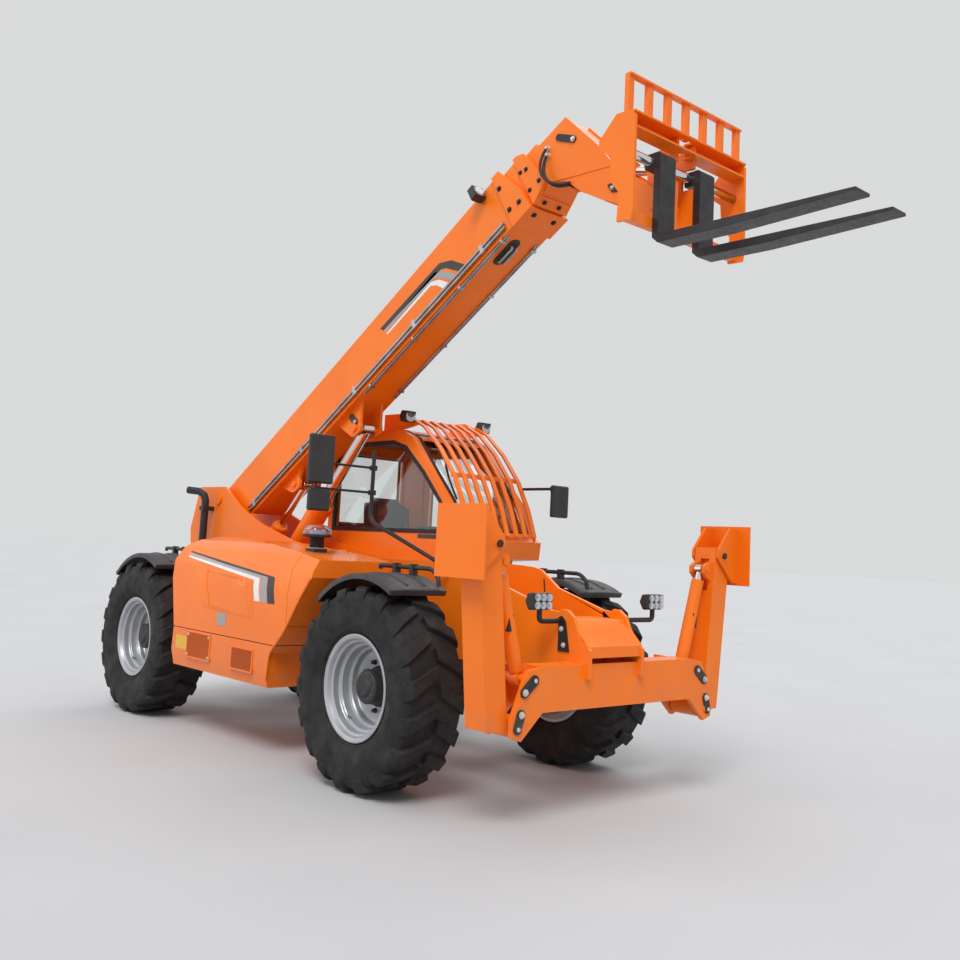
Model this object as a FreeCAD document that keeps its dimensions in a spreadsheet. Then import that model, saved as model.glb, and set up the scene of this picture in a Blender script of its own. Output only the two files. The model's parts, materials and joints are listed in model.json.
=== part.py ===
import FreeCAD, Part
import math
import os

# Telehandler: a two stage telescopic boom between an engine pod on the right and a cab on
# the left, four steered wheels, and two hinged stabilisers in front.
# Millimetres. X points forward, Y to the left, Z up. Every piece is drawn with x = 0 at the
# front axle and is then moved forward by front_axle_x, so that the machine's box is centred.

os.makedirs("parts", exist_ok=True)
document = FreeCAD.newDocument("Telehandler")

# name, value in millimetres or degrees
SIZE_ROWS = (
    # Whole machine
    ("front_axle_x", 489),
    ("wheelbase", 3289),
    ("boom_y", -90),
    ("fit", 0.3),
    # Wheels
    ("tyre_radius", 638),
    ("tyre_half_width", 230),
    ("tyre_centre_y", 889),
    ("lug_depth", 38),
    ("lugs_per_side", 18),
    ("rim_seat_radius", 305),
    ("rim_flange_radius", 331),
    ("rim_half_width", 180),
    ("rim_wall", 20),
    ("rim_disc_offset", 40),
    ("rim_disc_thickness", 14),
    ("hub_radius", 130),
    ("hub_cap_radius", 92),
    ("hub_length", 112),
    # Axles and knuckles
    ("kingpin_y", 730),
    ("kingpin_radius", 24),
    ("axle_tube_radius", 80),
    ("differential_radius", 180),
    ("yoke_half_width", 55),
    ("yoke_half_height", 130),
    ("yoke_arm", 32),
    ("knuckle_radius", 74),
    ("spindle_radius", 55),
    ("fender_gap", 62),
    ("fender_thickness", 12),
    ("fender_width", 440),
    ("fender_inner_y", 636),
    ("fender_lip", 9),
    # Chassis
    ("plate_thickness", 25),
    ("chassis_half_width", 250),
    ("chassis_bottom", 700),
    ("nose_x", 1045),
    ("tow_bore_radius", 16),
    ("tower_top", 1985),
    ("boom_pivot_back", 41),
    ("boom_pivot_z", 1870),
    ("boom_pin_radius", 45),
    ("lift_pin_ahead", 290),
    ("lift_pin_z", 748),
    ("levelling_pin_back", 111),
    ("levelling_pin_z", 900),
    # Boom, in its own frame: along from the pivot and up from its axis
    ("boom_angle", 31.7),
    ("outer_half_width", 170),
    ("outer_top", 85),
    ("outer_bottom", -355),
    ("outer_end", 4344),
    ("outer_wall", 10),
    ("slide_gap", 12),
    ("middle_start", 420),
    ("middle_end", 4430),
    ("middle_wall", 8),
    ("inner_start", 520),
    ("inner_end", 4560),
    ("inner_wall", 8),
    ("collar_proud", 14),
    ("collar_length", 200),
    ("head_half_width", 130),
    ("head_plate", 25),
    ("lift_eye_u", 1926),
    ("lift_eye_v", -502),
    ("levelling_eye_u", 973),
    ("levelling_eye_v", -435),
    ("tilt_base_u", 4560),
    ("tilt_base_v", -215),
    ("carriage_pin_u", 5099),
    ("carriage_pin_v", -1056),
    ("tilt_pin_dx", -34),
    ("tilt_pin_dz", 257),
    # Cylinders
    ("lift_barrel_radius", 92),
    ("lift_rod_radius", 50),
    ("lift_barrel_length", 1510),
    ("lift_stem_start", 811),
    ("lift_eye_radius", 46),
    ("levelling_barrel_radius", 62),
    ("levelling_rod_radius", 30),
    ("levelling_barrel_length", 1080),
    ("levelling_stem_start", 550),
    ("levelling_eye_radius", 46),
    ("tilt_barrel_radius", 58),
    ("tilt_rod_radius", 30),
    ("tilt_barrel_length", 660),
    ("tilt_stem_start", 275),
    ("tilt_eye_radius", 44),
    ("leg_barrel_radius", 42),
    ("leg_rod_radius", 24),
    ("leg_barrel_length", 600),
    ("leg_stem_start", 92),
    # Carriage and forks
    ("carriage_half_width", 548),
    ("carriage_plate", 20),
    ("fork_width", 143),
    ("fork_thickness", 50),
    ("fork_length", 1200),
    ("fork_face_ahead", 192),
    ("fork_top_drop", 266),
    ("right_fork_y", -329),
    ("left_fork_y", 52),
    ("fork_bar_radius", 28),
    ("fork_bar_ahead", 109),
    ("fork_bar_rise", 182),
    ("backrest_rise", 639),
    # Stabilisers
    ("beam_front_x", 1265),
    ("beam_depth", 150),
    ("beam_top", 905),
    ("beam_bottom", 650),
    ("beam_half_length", 780),
    ("leg_pin_y", 853),
    ("leg_pin_z", 583),
    ("foot_pin_y", 1048),
    ("foot_pin_z", 1577),
    ("leg_width", 160),
    ("leg_depth", 170),
    ("leg_front_x", 1212),
    ("leg_cylinder_pin_y", 750),
    ("leg_cylinder_pin_z", 830),
    ("leg_lug_y", 945),
    ("leg_lug_z", 1480),
    ("sole_y", 1232),
    ("sole_half_length", 205),
    ("sole_thickness", 12),
    # Engine pod
    ("pod_outer_y", -1100),
    ("pod_inner_y", -430),
    ("pod_wall", 20),
    ("pod_rear_gap", 795),
    ("pod_front_gap", 540),
    ("pod_bottom", 500),
    ("pod_seam_z", 800),
    ("pod_crown_z", 1530),
    ("beacon_z", 1480),
    ("hood_split_gap", 800),
    ("hood_hinge_radius", 9),
    # Cab
    ("cab_right_y", 175),
    ("cab_left_y", 1010),
    ("cab_wall", 60),
    ("cab_floor_z", 900),
    ("cab_sill_z", 1640),
    ("cab_roof_z", 2480),
    ("glass_thickness", 6),
    ("door_gap", 6),
    ("hinge_radius", 11),
)

sheet = document.addObject("Spreadsheet::Sheet", "Sizes")
for row, (alias, value) in enumerate(SIZE_ROWS, start=1):
    sheet.set(f"A{row}", alias)
    sheet.set(f"B{row}", str(value))
    sheet.setAlias(f"B{row}", alias)
document.recompute()


# Sizes that carry their formula

class Size:
    """A length or an angle with the formula that ties it to the sheet."""

    def __init__(self, value, formula):
        self.value = value
        self.formula = formula

    def __add__(self, other):
        return combine(self, "+", other, self.value + number(other))

    def __radd__(self, other):
        return combine(other, "+", self, number(other) + self.value)

    def __sub__(self, other):
        return combine(self, "-", other, self.value - number(other))

    def __rsub__(self, other):
        return combine(other, "-", self, number(other) - self.value)

    def __mul__(self, other):
        return combine(self, "*", other, self.value * number(other))

    def __rmul__(self, other):
        return combine(other, "*", self, number(other) * self.value)

    def __truediv__(self, other):
        return combine(self, "/", other, self.value / number(other))

    def __neg__(self):
        return Size(-self.value, f"(0 - {self.formula})")


def number(item):
    return item.value if isinstance(item, Size) else item


def formula(item):
    return item.formula if isinstance(item, Size) else f"({item})"


def combine(left, sign, right, value):
    return Size(value, f"({formula(left)} {sign} {formula(right)})")


class SheetSizes:
    """The sheet's cells by name."""

    def __getattr__(self, alias):
        return Size(float(sheet.get(alias)), f"Sizes.{alias}")


size = SheetSizes()

DRAWN_WHEELBASE = 3289


def by_rear_axle(x):
    """A place that stays where it is from the rear axle."""
    return (x + DRAWN_WHEELBASE) - size.wheelbase


def between_axles(x):
    """A place on what fills the space between the wheels: it spreads with the wheelbase."""
    return size.wheelbase * (x / DRAWN_WHEELBASE)


boom_pivot_x = -size.wheelbase - size.boom_pivot_back
lift_pin_x = -size.wheelbase + size.lift_pin_ahead
levelling_pin_x = -size.wheelbase - size.levelling_pin_back
pod_rear_x = -size.wheelbase + size.pod_rear_gap
pod_front_x = -size.pod_front_gap
hood_split_x = -size.hood_split_gap
cab_rear_x = between_axles(-2290)
cab_front_x = between_axles(-470)
door_hinge_x = between_axles(-1950)


def cab_height(z):
    """A height between the cab's sill and its roof, which spreads with both."""
    return size.cab_sill_z + (size.cab_roof_z - size.cab_sill_z) * ((z - 1640) / 840)


# Solids bound to the sheet

def bind(item, place, length):
    item.setExpression(place, formula(length))


def add(kind, name):
    return document.addObject(kind, name)


def box(name, x, y, z):
    """A block between two values on each axis."""
    block = add("Part::Box", name)
    for (low, high), length, axis in ((x, "Length", "x"), (y, "Width", "y"), (z, "Height", "z")):
        bind(block, length, high - low)
        bind(block, f"Placement.Base.{axis}", low)
    return block


TURN_TO_AXIS = {
    "X": FreeCAD.Rotation(FreeCAD.Vector(0, 1, 0), 90),
    "Y": FreeCAD.Rotation(FreeCAD.Vector(1, 0, 0), -90),
    "Z": FreeCAD.Rotation(),
}


def rod(name, axis, start, length, radius):
    """A round bar along X, Y or Z from its start point."""
    bar = add("Part::Cylinder", name)
    bar.Placement = FreeCAD.Placement(FreeCAD.Vector(), TURN_TO_AXIS[axis])
    bind(bar, "Radius", radius)
    bind(bar, "Height", length)
    for letter, place in zip("xyz", start):
        bind(bar, f"Placement.Base.{letter}", place)
    return bar


def path(name, points, radius):
    """Round bars from point to point, with balls at the bends."""
    pieces = []
    for index, (first, last) in enumerate(zip(points, points[1:])):
        way = FreeCAD.Vector(*last) - FreeCAD.Vector(*first)
        bar = add("Part::Cylinder", f"{name}_{index}")
        bind(bar, "Radius", radius)
        bar.Height = way.Length
        bar.Placement = FreeCAD.Placement(FreeCAD.Vector(*first), FreeCAD.Rotation(FreeCAD.Vector(0, 0, 1), way))
        pieces.append(bar)
        if index:
            ball = add("Part::Sphere", f"{name}_bend_{index}")
            bind(ball, "Radius", radius)
            ball.Placement = FreeCAD.Placement(FreeCAD.Vector(*first), FreeCAD.Rotation())
            pieces.append(ball)
    return pieces


PLANES = {"X": "YZ_Plane", "Y": "XZ_Plane", "Z": "XY_Plane"}


def origin_plane(body, role):
    return next(item for item in body.Origin.OriginFeatures if item.Role == role)


def outline_sketch(body, name, axis, points, offset):
    """A closed outline of straight lines on the plane across an axis, each corner tied to the sheet."""
    sketch = body.newObject("Sketcher::SketchObject", name)
    sketch.AttachmentSupport = (origin_plane(body, PLANES[axis]), [""])
    sketch.MapMode = "FlatFace"
    corners = [FreeCAD.Vector(number(a), number(b), 0) for a, b in points]
    count = len(corners)
    for index in range(count):
        sketch.addGeometry(Part.LineSegment(corners[index], corners[(index + 1) % count]), False)
    for index in range(count):
        sketch.addConstraint(sketcher_constraint("Coincident", index, 2, (index + 1) % count, 1))
    for index, (across, up) in enumerate(points):
        for kind, value in (("DistanceX", across), ("DistanceY", up)):
            place = sketch.addConstraint(sketcher_constraint(kind, -1, 1, index, 1, number(value)))
            if isinstance(value, Size):
                sketch.setExpression(f"Constraints[{place}]", value.formula)
    bind(sketch, "AttachmentOffset.Base.z", offset)
    return sketch


def sketcher_constraint(*values):
    import Sketcher
    return Sketcher.Constraint(*values)


def prism(name, axis, points, low, high):
    """An outline pushed along X, Y or Z between two values."""
    body = add("PartDesign::Body", name)
    # The plane across Y faces towards -Y, so its sketch starts on the high side.
    offset = -high if axis == "Y" else low
    sketch = outline_sketch(body, f"{name}_outline", axis, points, offset)
    pad = body.newObject("PartDesign::Pad", f"{name}_pad")
    pad.Profile = sketch
    bind(pad, "Length", high - low)
    return body


def turned(name, points, angle=360):
    """An outline of (y, radius) points turned about the Y axis."""
    body = add("PartDesign::Body", name)
    sketch = outline_sketch(body, f"{name}_outline", "X", points, 0)
    turn = body.newObject("PartDesign::Revolution", f"{name}_turn")
    turn.Profile = sketch
    turn.ReferenceAxis = (sketch, ["H_Axis"])
    turn.Angle = angle
    return body


def fuse(name, pieces, refine=True):
    joined = add("Part::MultiFuse", name)
    joined.Shapes = pieces
    joined.Refine = refine
    return joined


def cut(name, base, tool, refine=True):
    left = add("Part::Cut", name)
    left.Base = base
    left.Tool = tool
    left.Refine = refine
    return left


def common(name, first, second):
    shared = add("Part::MultiCommon", name)
    shared.Shapes = [first, second]
    return shared


finished = []


def finish(label, item, base=(0, 0, 0), pitch=0):
    """Label a sub-part and put it in its place: base is in the drawing frame, pitch lifts its front."""
    item.Label = label
    turn = FreeCAD.Rotation(FreeCAD.Vector(0, 1, 0), -number(pitch))
    own = item.Placement
    move = FreeCAD.Placement(FreeCAD.Vector(*[number(value) for value in base]), turn)
    forward = FreeCAD.Placement(FreeCAD.Vector(size.front_axle_x.value, 0, 0), FreeCAD.Rotation())
    item.Placement = forward.multiply(move).multiply(own)
    finished.append(item)
    return item


# Named places worked out from the sheet

SIDES = (("right", -1), ("left", 1))
AXLES = (("front", 0), ("rear", -size.wheelbase))
axle_z = size.tyre_radius
BOOM_TURN = math.radians(size.boom_angle.value)


def from_boom(u, v):
    """A point given along and above the boom's axis, as x and z."""
    along = number(u)
    above = number(v)
    return (
        boom_pivot_x.value + along * math.cos(BOOM_TURN) - above * math.sin(BOOM_TURN),
        size.boom_pivot_z.value + along * math.sin(BOOM_TURN) + above * math.cos(BOOM_TURN),
    )


carriage_pin = from_boom(size.carriage_pin_u, size.carriage_pin_v)
tilt_pin = (carriage_pin[0] + size.tilt_pin_dx.value, carriage_pin[1] + size.tilt_pin_dz.value)
tilt_base = from_boom(size.tilt_base_u, size.tilt_base_v)
lift_eye = from_boom(size.lift_eye_u, size.lift_eye_v)
levelling_eye = from_boom(size.levelling_eye_u, size.levelling_eye_v)


# Wheels

def build_tyre(label, side, axle_x):
    half = size.tyre_half_width
    seat = size.rim_seat_radius + size.fit
    bead = size.rim_half_width - 12
    outline = (
        (-bead, seat), (-bead, size.rim_flange_radius + 6), (-half + 8, size.tyre_radius - 235),
        (-half, size.tyre_radius - 150), (-half + 16, size.tyre_radius - 48), (-half + 34, size.tyre_radius),
        (half - 34, size.tyre_radius), (half - 16, size.tyre_radius - 48), (half, size.tyre_radius - 150),
        (half - 8, size.tyre_radius - 235), (bead, size.rim_flange_radius + 6), (bead, seat),
    )
    body = turned(f"{label}_body", outline)
    floor = size.tyre_radius - size.lug_depth
    grooves = []
    for half_name, way, phase in (("inner", -1, 0.25), ("outer", 1, -0.25)):
        pitch_length = 2 * math.pi * size.tyre_radius.value / size.lugs_per_side.value
        shift = phase * pitch_length
        # The gap between two lugs, seen from above: it slants back from the middle to the shoulder.
        gap = 0.27 * pitch_length
        slant = 118
        points = (
            (shift - gap, way * 12), (shift + gap, way * 12),
            (shift + gap + slant, way * (half + 20)), (shift - gap + slant, way * (half + 20)),
        )
        sketch = outline_sketch(body, f"{label}_{half_name}_gap", "Z", points, floor)
        pocket = body.newObject("PartDesign::Pocket", f"{label}_{half_name}_cut")
        pocket.Profile = sketch
        pocket.Type = 0
        pocket.Length = 200
        pocket.Reversed = True
        grooves.append(pocket)
    pattern = body.newObject("PartDesign::PolarPattern", f"{label}_lugs")
    pattern.Originals = grooves
    pattern.Axis = (origin_plane(body, "Y_Axis"), [""])
    pattern.Angle = 360
    bind(pattern, "Occurrences", size.lugs_per_side)
    body.Tip = pattern
    finish(label, body, (axle_x, side * size.tyre_centre_y, axle_z))


def build_rim(label, side, axle_x):
    edge = size.rim_half_width
    flange = size.rim_flange_radius
    seat = size.rim_seat_radius
    inside = seat - size.rim_wall
    disc_out = -size.rim_disc_offset + size.rim_disc_thickness
    bore = size.spindle_radius + size.fit
    points = [
        (-75, bore), (-75, size.hub_radius), (-size.rim_disc_offset, size.hub_radius),
        (-size.rim_disc_offset, inside), (-edge, inside), (-edge, flange), (-edge + 10, flange),
        (-edge + 10, seat), (edge - 10, seat), (edge - 10, flange), (edge, flange), (edge, seat),
        (edge - 30, inside), (disc_out + 70, inside), (disc_out + 70, inside - 40), (disc_out, inside - 60),
        (disc_out, size.hub_radius), (60, size.hub_radius), (60, size.hub_cap_radius),
        (size.hub_length, size.hub_cap_radius), (size.hub_length, 0), (76, 0), (76, bore),
    ]
    points = [(side * along, radius) for along, radius in points]
    finish(label, turned(f"{label}_body", points), (axle_x, side * size.tyre_centre_y, axle_z))


def build_knuckle(label, side, axle_x):
    """The swivel between axle and wheel, with the arm that carries the wheel's mudguard."""
    free = size.yoke_half_height - size.yoke_arm - 6
    drum = rod(f"{label}_drum", "Z", (0, 0, -free), free * 2, size.knuckle_radius)
    reach = size.tyre_centre_y + 70 - size.kingpin_y
    spindle_start = 0 if side > 0 else -reach
    spindle = rod(f"{label}_spindle", "Y", (0, spindle_start, 0), reach, size.spindle_radius)
    # The post stands just inside the guard's turned-down lip.
    post_y = size.kingpin_y - size.fender_inner_y - size.fender_lip - size.fit
    arm_x = (-170, -132)
    low, high = sorted_span(side, -22, 22)
    arm = box(f"{label}_arm", (-170, 0), (low, high), (-20, 20))
    riser = box(f"{label}_riser", arm_x, (low, high), (-20, 205))
    low, high = sorted_span(side, -post_y, 22)
    cross = box(f"{label}_cross", arm_x, (low, high), (170, 205))
    low, high = sorted_span(side, -post_y, -post_y + 12)
    inner_radius = size.tyre_radius.value + size.fender_gap.value
    post_top = math.sqrt(inner_radius ** 2 - 170 ** 2) - size.fit.value
    post = box(f"{label}_post", arm_x, (low, high), (170, post_top))
    joined = fuse(f"{label}_solid", [drum, spindle, arm, riser, cross, post])
    hole = rod(f"{label}_pin_hole", "Z", (0, 0, -free - 1), free * 2 + 2, size.kingpin_radius + size.fit)
    keep = rod(f"{label}_pin_web", "Z", (0, 0, -free + 34), free * 2 - 68, size.kingpin_radius + 2)
    finish(label, cut(f"{label}_cut", joined, cut(f"{label}_pin_holes", hole, keep)),
           (axle_x, side * size.kingpin_y, axle_z))


def sorted_span(side, low, high):
    """Two y values measured outwards from a place, in order for either side."""
    return (low, high) if side > 0 else (-high, -low)


def build_fender(label, side, axle_x):
    inner = size.tyre_radius + size.fender_gap
    lip = size.fender_lip
    low, high = sorted_span(side, size.fender_inner_y, size.fender_inner_y + size.fender_width)
    points = (
        (low, inner - 22), (low + lip, inner - 22), (low + lip, inner), (high - lip, inner), (high - lip, inner - 22),
        (high, inner - 22), (high, inner + size.fender_thickness), (low, inner + size.fender_thickness),
    )
    guard = turned(f"{label}_body", points, 70)
    # The turned strip starts overhead; this leans it back over the wheel.
    guard.Placement = FreeCAD.Placement(
        FreeCAD.Vector(), FreeCAD.Rotation(FreeCAD.Vector(0, 1, 0), -42))
    finish(label, guard, (axle_x, 0, axle_z))


def build_axle(label, axle_x):
    pieces = [
        rod(f"{label}_tube", "Y", (0, -size.kingpin_y + 165, 0), size.kingpin_y * 2 - 330, size.axle_tube_radius),
        rod(f"{label}_differential", "Y", (0, size.boom_y - 130, 0), 260, size.differential_radius),
    ]
    half = size.yoke_half_width
    tall = size.yoke_half_height
    for name, side in SIDES:
        low, high = sorted_span(side, size.kingpin_y - 170, size.kingpin_y - 95)
        pieces.append(box(f"{label}_{name}_web", (-half, half), (low, high), (-tall, tall)))
        low, high = sorted_span(side, size.kingpin_y - 170, size.kingpin_y + 45)
        pieces.append(box(f"{label}_{name}_top", (-half, half), (low, high), (tall - size.yoke_arm, tall)))
        pieces.append(box(f"{label}_{name}_foot", (-half, half), (low, high), (-tall, -tall + size.yoke_arm)))
        for end, start in (("upper", tall - size.yoke_arm - 34), ("lower", -tall)):
            pieces.append(rod(f"{label}_{name}_{end}_pin", "Z", (0, side * size.kingpin_y, start),
                              size.yoke_arm + 34, size.kingpin_radius))
    mount = size.chassis_bottom - axle_z
    for name, place in (("right", -150), ("left", 110)):
        low = size.boom_y + place
        pieces.append(box(f"{label}_{name}_seat", (-60, 60), (low, low + 40), (0, mount + 120)))
    finish(label, fuse(f"{label}_solid", pieces), (axle_x, 0, axle_z))


def build_running_gear():
    for end, axle_x in AXLES:
        build_axle(f"{end}_axle", axle_x)
        for name, side in SIDES:
            build_tyre(f"tyre_{end}_{name}", side, axle_x)
            build_rim(f"rim_{end}_{name}", side, axle_x)
            build_knuckle(f"knuckle_{end}_{name}", side, axle_x)
            build_fender(f"mudguard_{end}_{name}", side, axle_x)


# Chassis

def build_chassis():
    half = size.chassis_half_width
    plate = size.plate_thickness
    bottom = size.chassis_bottom
    arch = bottom + 110
    carrier_z = bottom + 120 + size.fit
    nose = size.nose_x
    rear = by_rear_axle
    between = between_axles
    # The side plate's edge, x and z, from the tower's rear foot over the tower to the nose
    edge = (
        (rear(-3700), bottom + 20), (rear(-3871), 1592), (rear(-3740), size.tower_top - 15),
        (rear(-3715), size.tower_top), (rear(-3250), size.tower_top), (rear(-3180), size.tower_top - 40),
        (rear(-2990), 1830), (rear(-2836), 1755), (rear(-2560), 1662), (between(-2051), 1530),
        (between(-1377), 1434), (-500, 1440), (-27, 1447), (179, 1443), (327, 1436), (406, 1420), (455, 1388),
        (572, 1308), (665, 1282), (975, 1195), (nose, 1191), (nose, bottom + 40), (nose - 45, bottom),
        (640, bottom), (600, arch), (-600, arch), (-640, bottom), (rear(-2650), bottom), (rear(-2690), arch),
        (rear(-2890), arch), (rear(-2930), bottom), (rear(-3065), bottom), (rear(-3110), arch),
        (rear(-3480), arch), (rear(-3549), bottom + 20),
    )
    pieces = []
    for name, low in (("right", size.boom_y - half), ("left", size.boom_y + half - plate)):
        pieces.append(prism(f"chassis_{name}_plate", "Y", edge, low, low + plate))
    inside = (size.boom_y - half + 1, size.boom_y + half - 1)
    # Cross members between the plates: name, x from, x to, z from, z to
    members = (
        ("tower_back", rear(-3840), rear(-3700), 900, 1500),
        ("rear_carrier", -size.wheelbase - 60, -size.wheelbase + 60, carrier_z, carrier_z + 25),
        ("middle_floor", between(-2500), between(-900), bottom, bottom + 25),
        ("middle_wall", between(-1000), between(-900), bottom, 1100),
        ("front_carrier", -60, 60, carrier_z, carrier_z + 25),
        ("front_floor", 640, nose - 45, bottom, bottom + 25),
        ("front_wall", 900, 930, bottom, 1143),
        ("front_deck", 902, nose - 1, 1142, 1150),
    )
    for name, start, end, low, high in members:
        pieces.append(box(f"chassis_{name}", (start, end), inside, (low, high)))
    # Cross beams that carry the cab on the left and the engine pod on the right
    for index, start in enumerate((between(-2150), between(-1100))):
        pieces.append(box(f"chassis_cab_beam_{index}", (start, start + 100),
                          (size.boom_y + half - 1, size.cab_left_y - 60),
                          (size.cab_floor_z - 70, size.cab_floor_z - size.fit)))
        pieces.append(box(f"chassis_pod_beam_{index}", (start, start + 100),
                          (size.pod_inner_y + size.fit, size.boom_y - half + 1), (bottom + 20, bottom + 120)))
    # Towing jaw: two plates with one bore through both
    middle = size.boom_y
    for name, level in (("lower", 850), ("upper", 935)):
        pieces.append(box(f"tow_{name}_plate", (rear(-3922), rear(-3835)), (middle - 55, middle + 55),
                          (level, level + 25)))
    pieces.append(box("tow_back", (rear(-3845), rear(-3820)), (middle - 70, middle + 70), (820, 990)))
    bore = rod("tow_bore", "Z", (rear(-3890), middle, 840), 130, size.tow_bore_radius)
    tower = cut("chassis_bored", fuse("chassis_solid", pieces), bore)
    pins = []
    for name, place in (("boom", (boom_pivot_x, size.boom_pivot_z, size.boom_pin_radius)),
                        ("lift", (lift_pin_x, size.lift_pin_z, 40)),
                        ("levelling", (levelling_pin_x, size.levelling_pin_z, 30))):
        x, z, radius = place
        pins.append(rod(f"chassis_{name}_pin", "Y", (x, size.boom_y - half - 18, z), half * 2 + 36, radius))
    finish("chassis_frame", fuse("chassis_with_pins", [tower] + pins))


def build_front_beam():
    front = size.beam_front_x
    back = front - size.beam_depth
    low = size.beam_bottom
    high = size.beam_top
    reach = size.beam_half_length
    pin_y = size.leg_pin_y
    pieces = [box("beam_outer", (back, front), (-reach + 90, reach - 90), (low, high))]
    for name, side in SIDES:
        for index, start in enumerate((back - 130, front - 30)):
            points = (
                (side * (reach - 130), low + 20), (side * (pin_y - 20), low - 145), (side * (pin_y + 55), low - 120),
                (side * (pin_y + 55), low - 20), (side * (reach + 20), high - 20), (side * (reach - 130), high),
            )
            pieces.append(prism(f"beam_{name}_ear_{index}", "X", points, start, start + 30))
        low_y, high_y = sorted_span(side, reach - 150, reach - 90)
        pieces.append(box(f"beam_{name}_end", (back - 130, front), (low_y, high_y), (low + 20, high - 20)))
        for pin, y, z in (("lower", pin_y, size.leg_pin_z),
                          ("upper", size.leg_cylinder_pin_y, size.leg_cylinder_pin_z)):
            pieces.append(rod(f"beam_{name}_{pin}_pin", "X", (back - 138, side * y, z),
                              size.beam_depth + 146, 26))
    # Gussets that carry the beam on the nose of each side plate, and the cover between them
    nose = size.nose_x + size.fit
    rise = (
        (nose, low + 40), (front - 3, low + 40), (front - 3, high - 83), (1300, high - 83), (1301, 985), (1235, 1038),
        (1192, 1102), (1160, 1170), (1108, 1205), (1058, 1207), (nose, 1191),
    )
    half = size.chassis_half_width
    plate = size.plate_thickness
    for name, low_y in (("right", size.boom_y - half), ("left", size.boom_y + half - plate)):
        pieces.append(prism(f"beam_{name}_gusset", "Y", rise, low_y, low_y + plate))
    cover = ((nose, 1150), (1140, 1150), (1286, 1004), (1290, 940), (1283, 940), (1279, 1001), (1137, 1143),
             (nose, 1143))
    pieces.append(prism("beam_cover", "Y", cover, size.boom_y - half + 5, size.boom_y + half - 5))
    finish("stabiliser_beam", fuse("beam_solid", pieces))


def build_headlamps():
    """Two lamps on bent arms that are bolted to the outer faces of the beam's gussets."""
    half = size.chassis_half_width
    faces = {"right": size.boom_y - half - size.fit, "left": size.boom_y + half + size.fit}
    middle = 526
    lamps = []
    for name, side in SIDES:
        face = faces[name]
        foot = (face - 8, face) if side < 0 else (face, face + 8)
        reach = (-middle - 20, face) if side < 0 else (face, middle + 20)
        low, high = sorted_span(side, middle - 79, middle + 79)
        post_low, post_high = sorted_span(side, middle - 20, middle + 20)
        # The foot plate follows the gusset's edge; the arm runs out from it and turns up to the lamp.
        pieces = [
            prism(f"{name}_lamp_foot", "Y", ((1050, 960), (1140, 960), (1105, 1135), (1050, 1160)), *foot),
            box(f"{name}_lamp_arm", (1050, 1072), reach, (1120, 1160)),
            box(f"{name}_lamp_post", (1050, 1072), (post_low, post_high), (1120, 1215)),
            prism(f"{name}_lamp_case", "Y", ((1040, 1200), (1085, 1206), (1090, 1306), (1030, 1300), (1010, 1250)),
                  low, high),
        ]
        lamps.append(fuse(f"{name}_lamp_solid", pieces))
    pair = add("Part::Compound", "headlamp_pair")
    pair.Links = lamps
    finish("headlamps", pair)


# Boom

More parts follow.
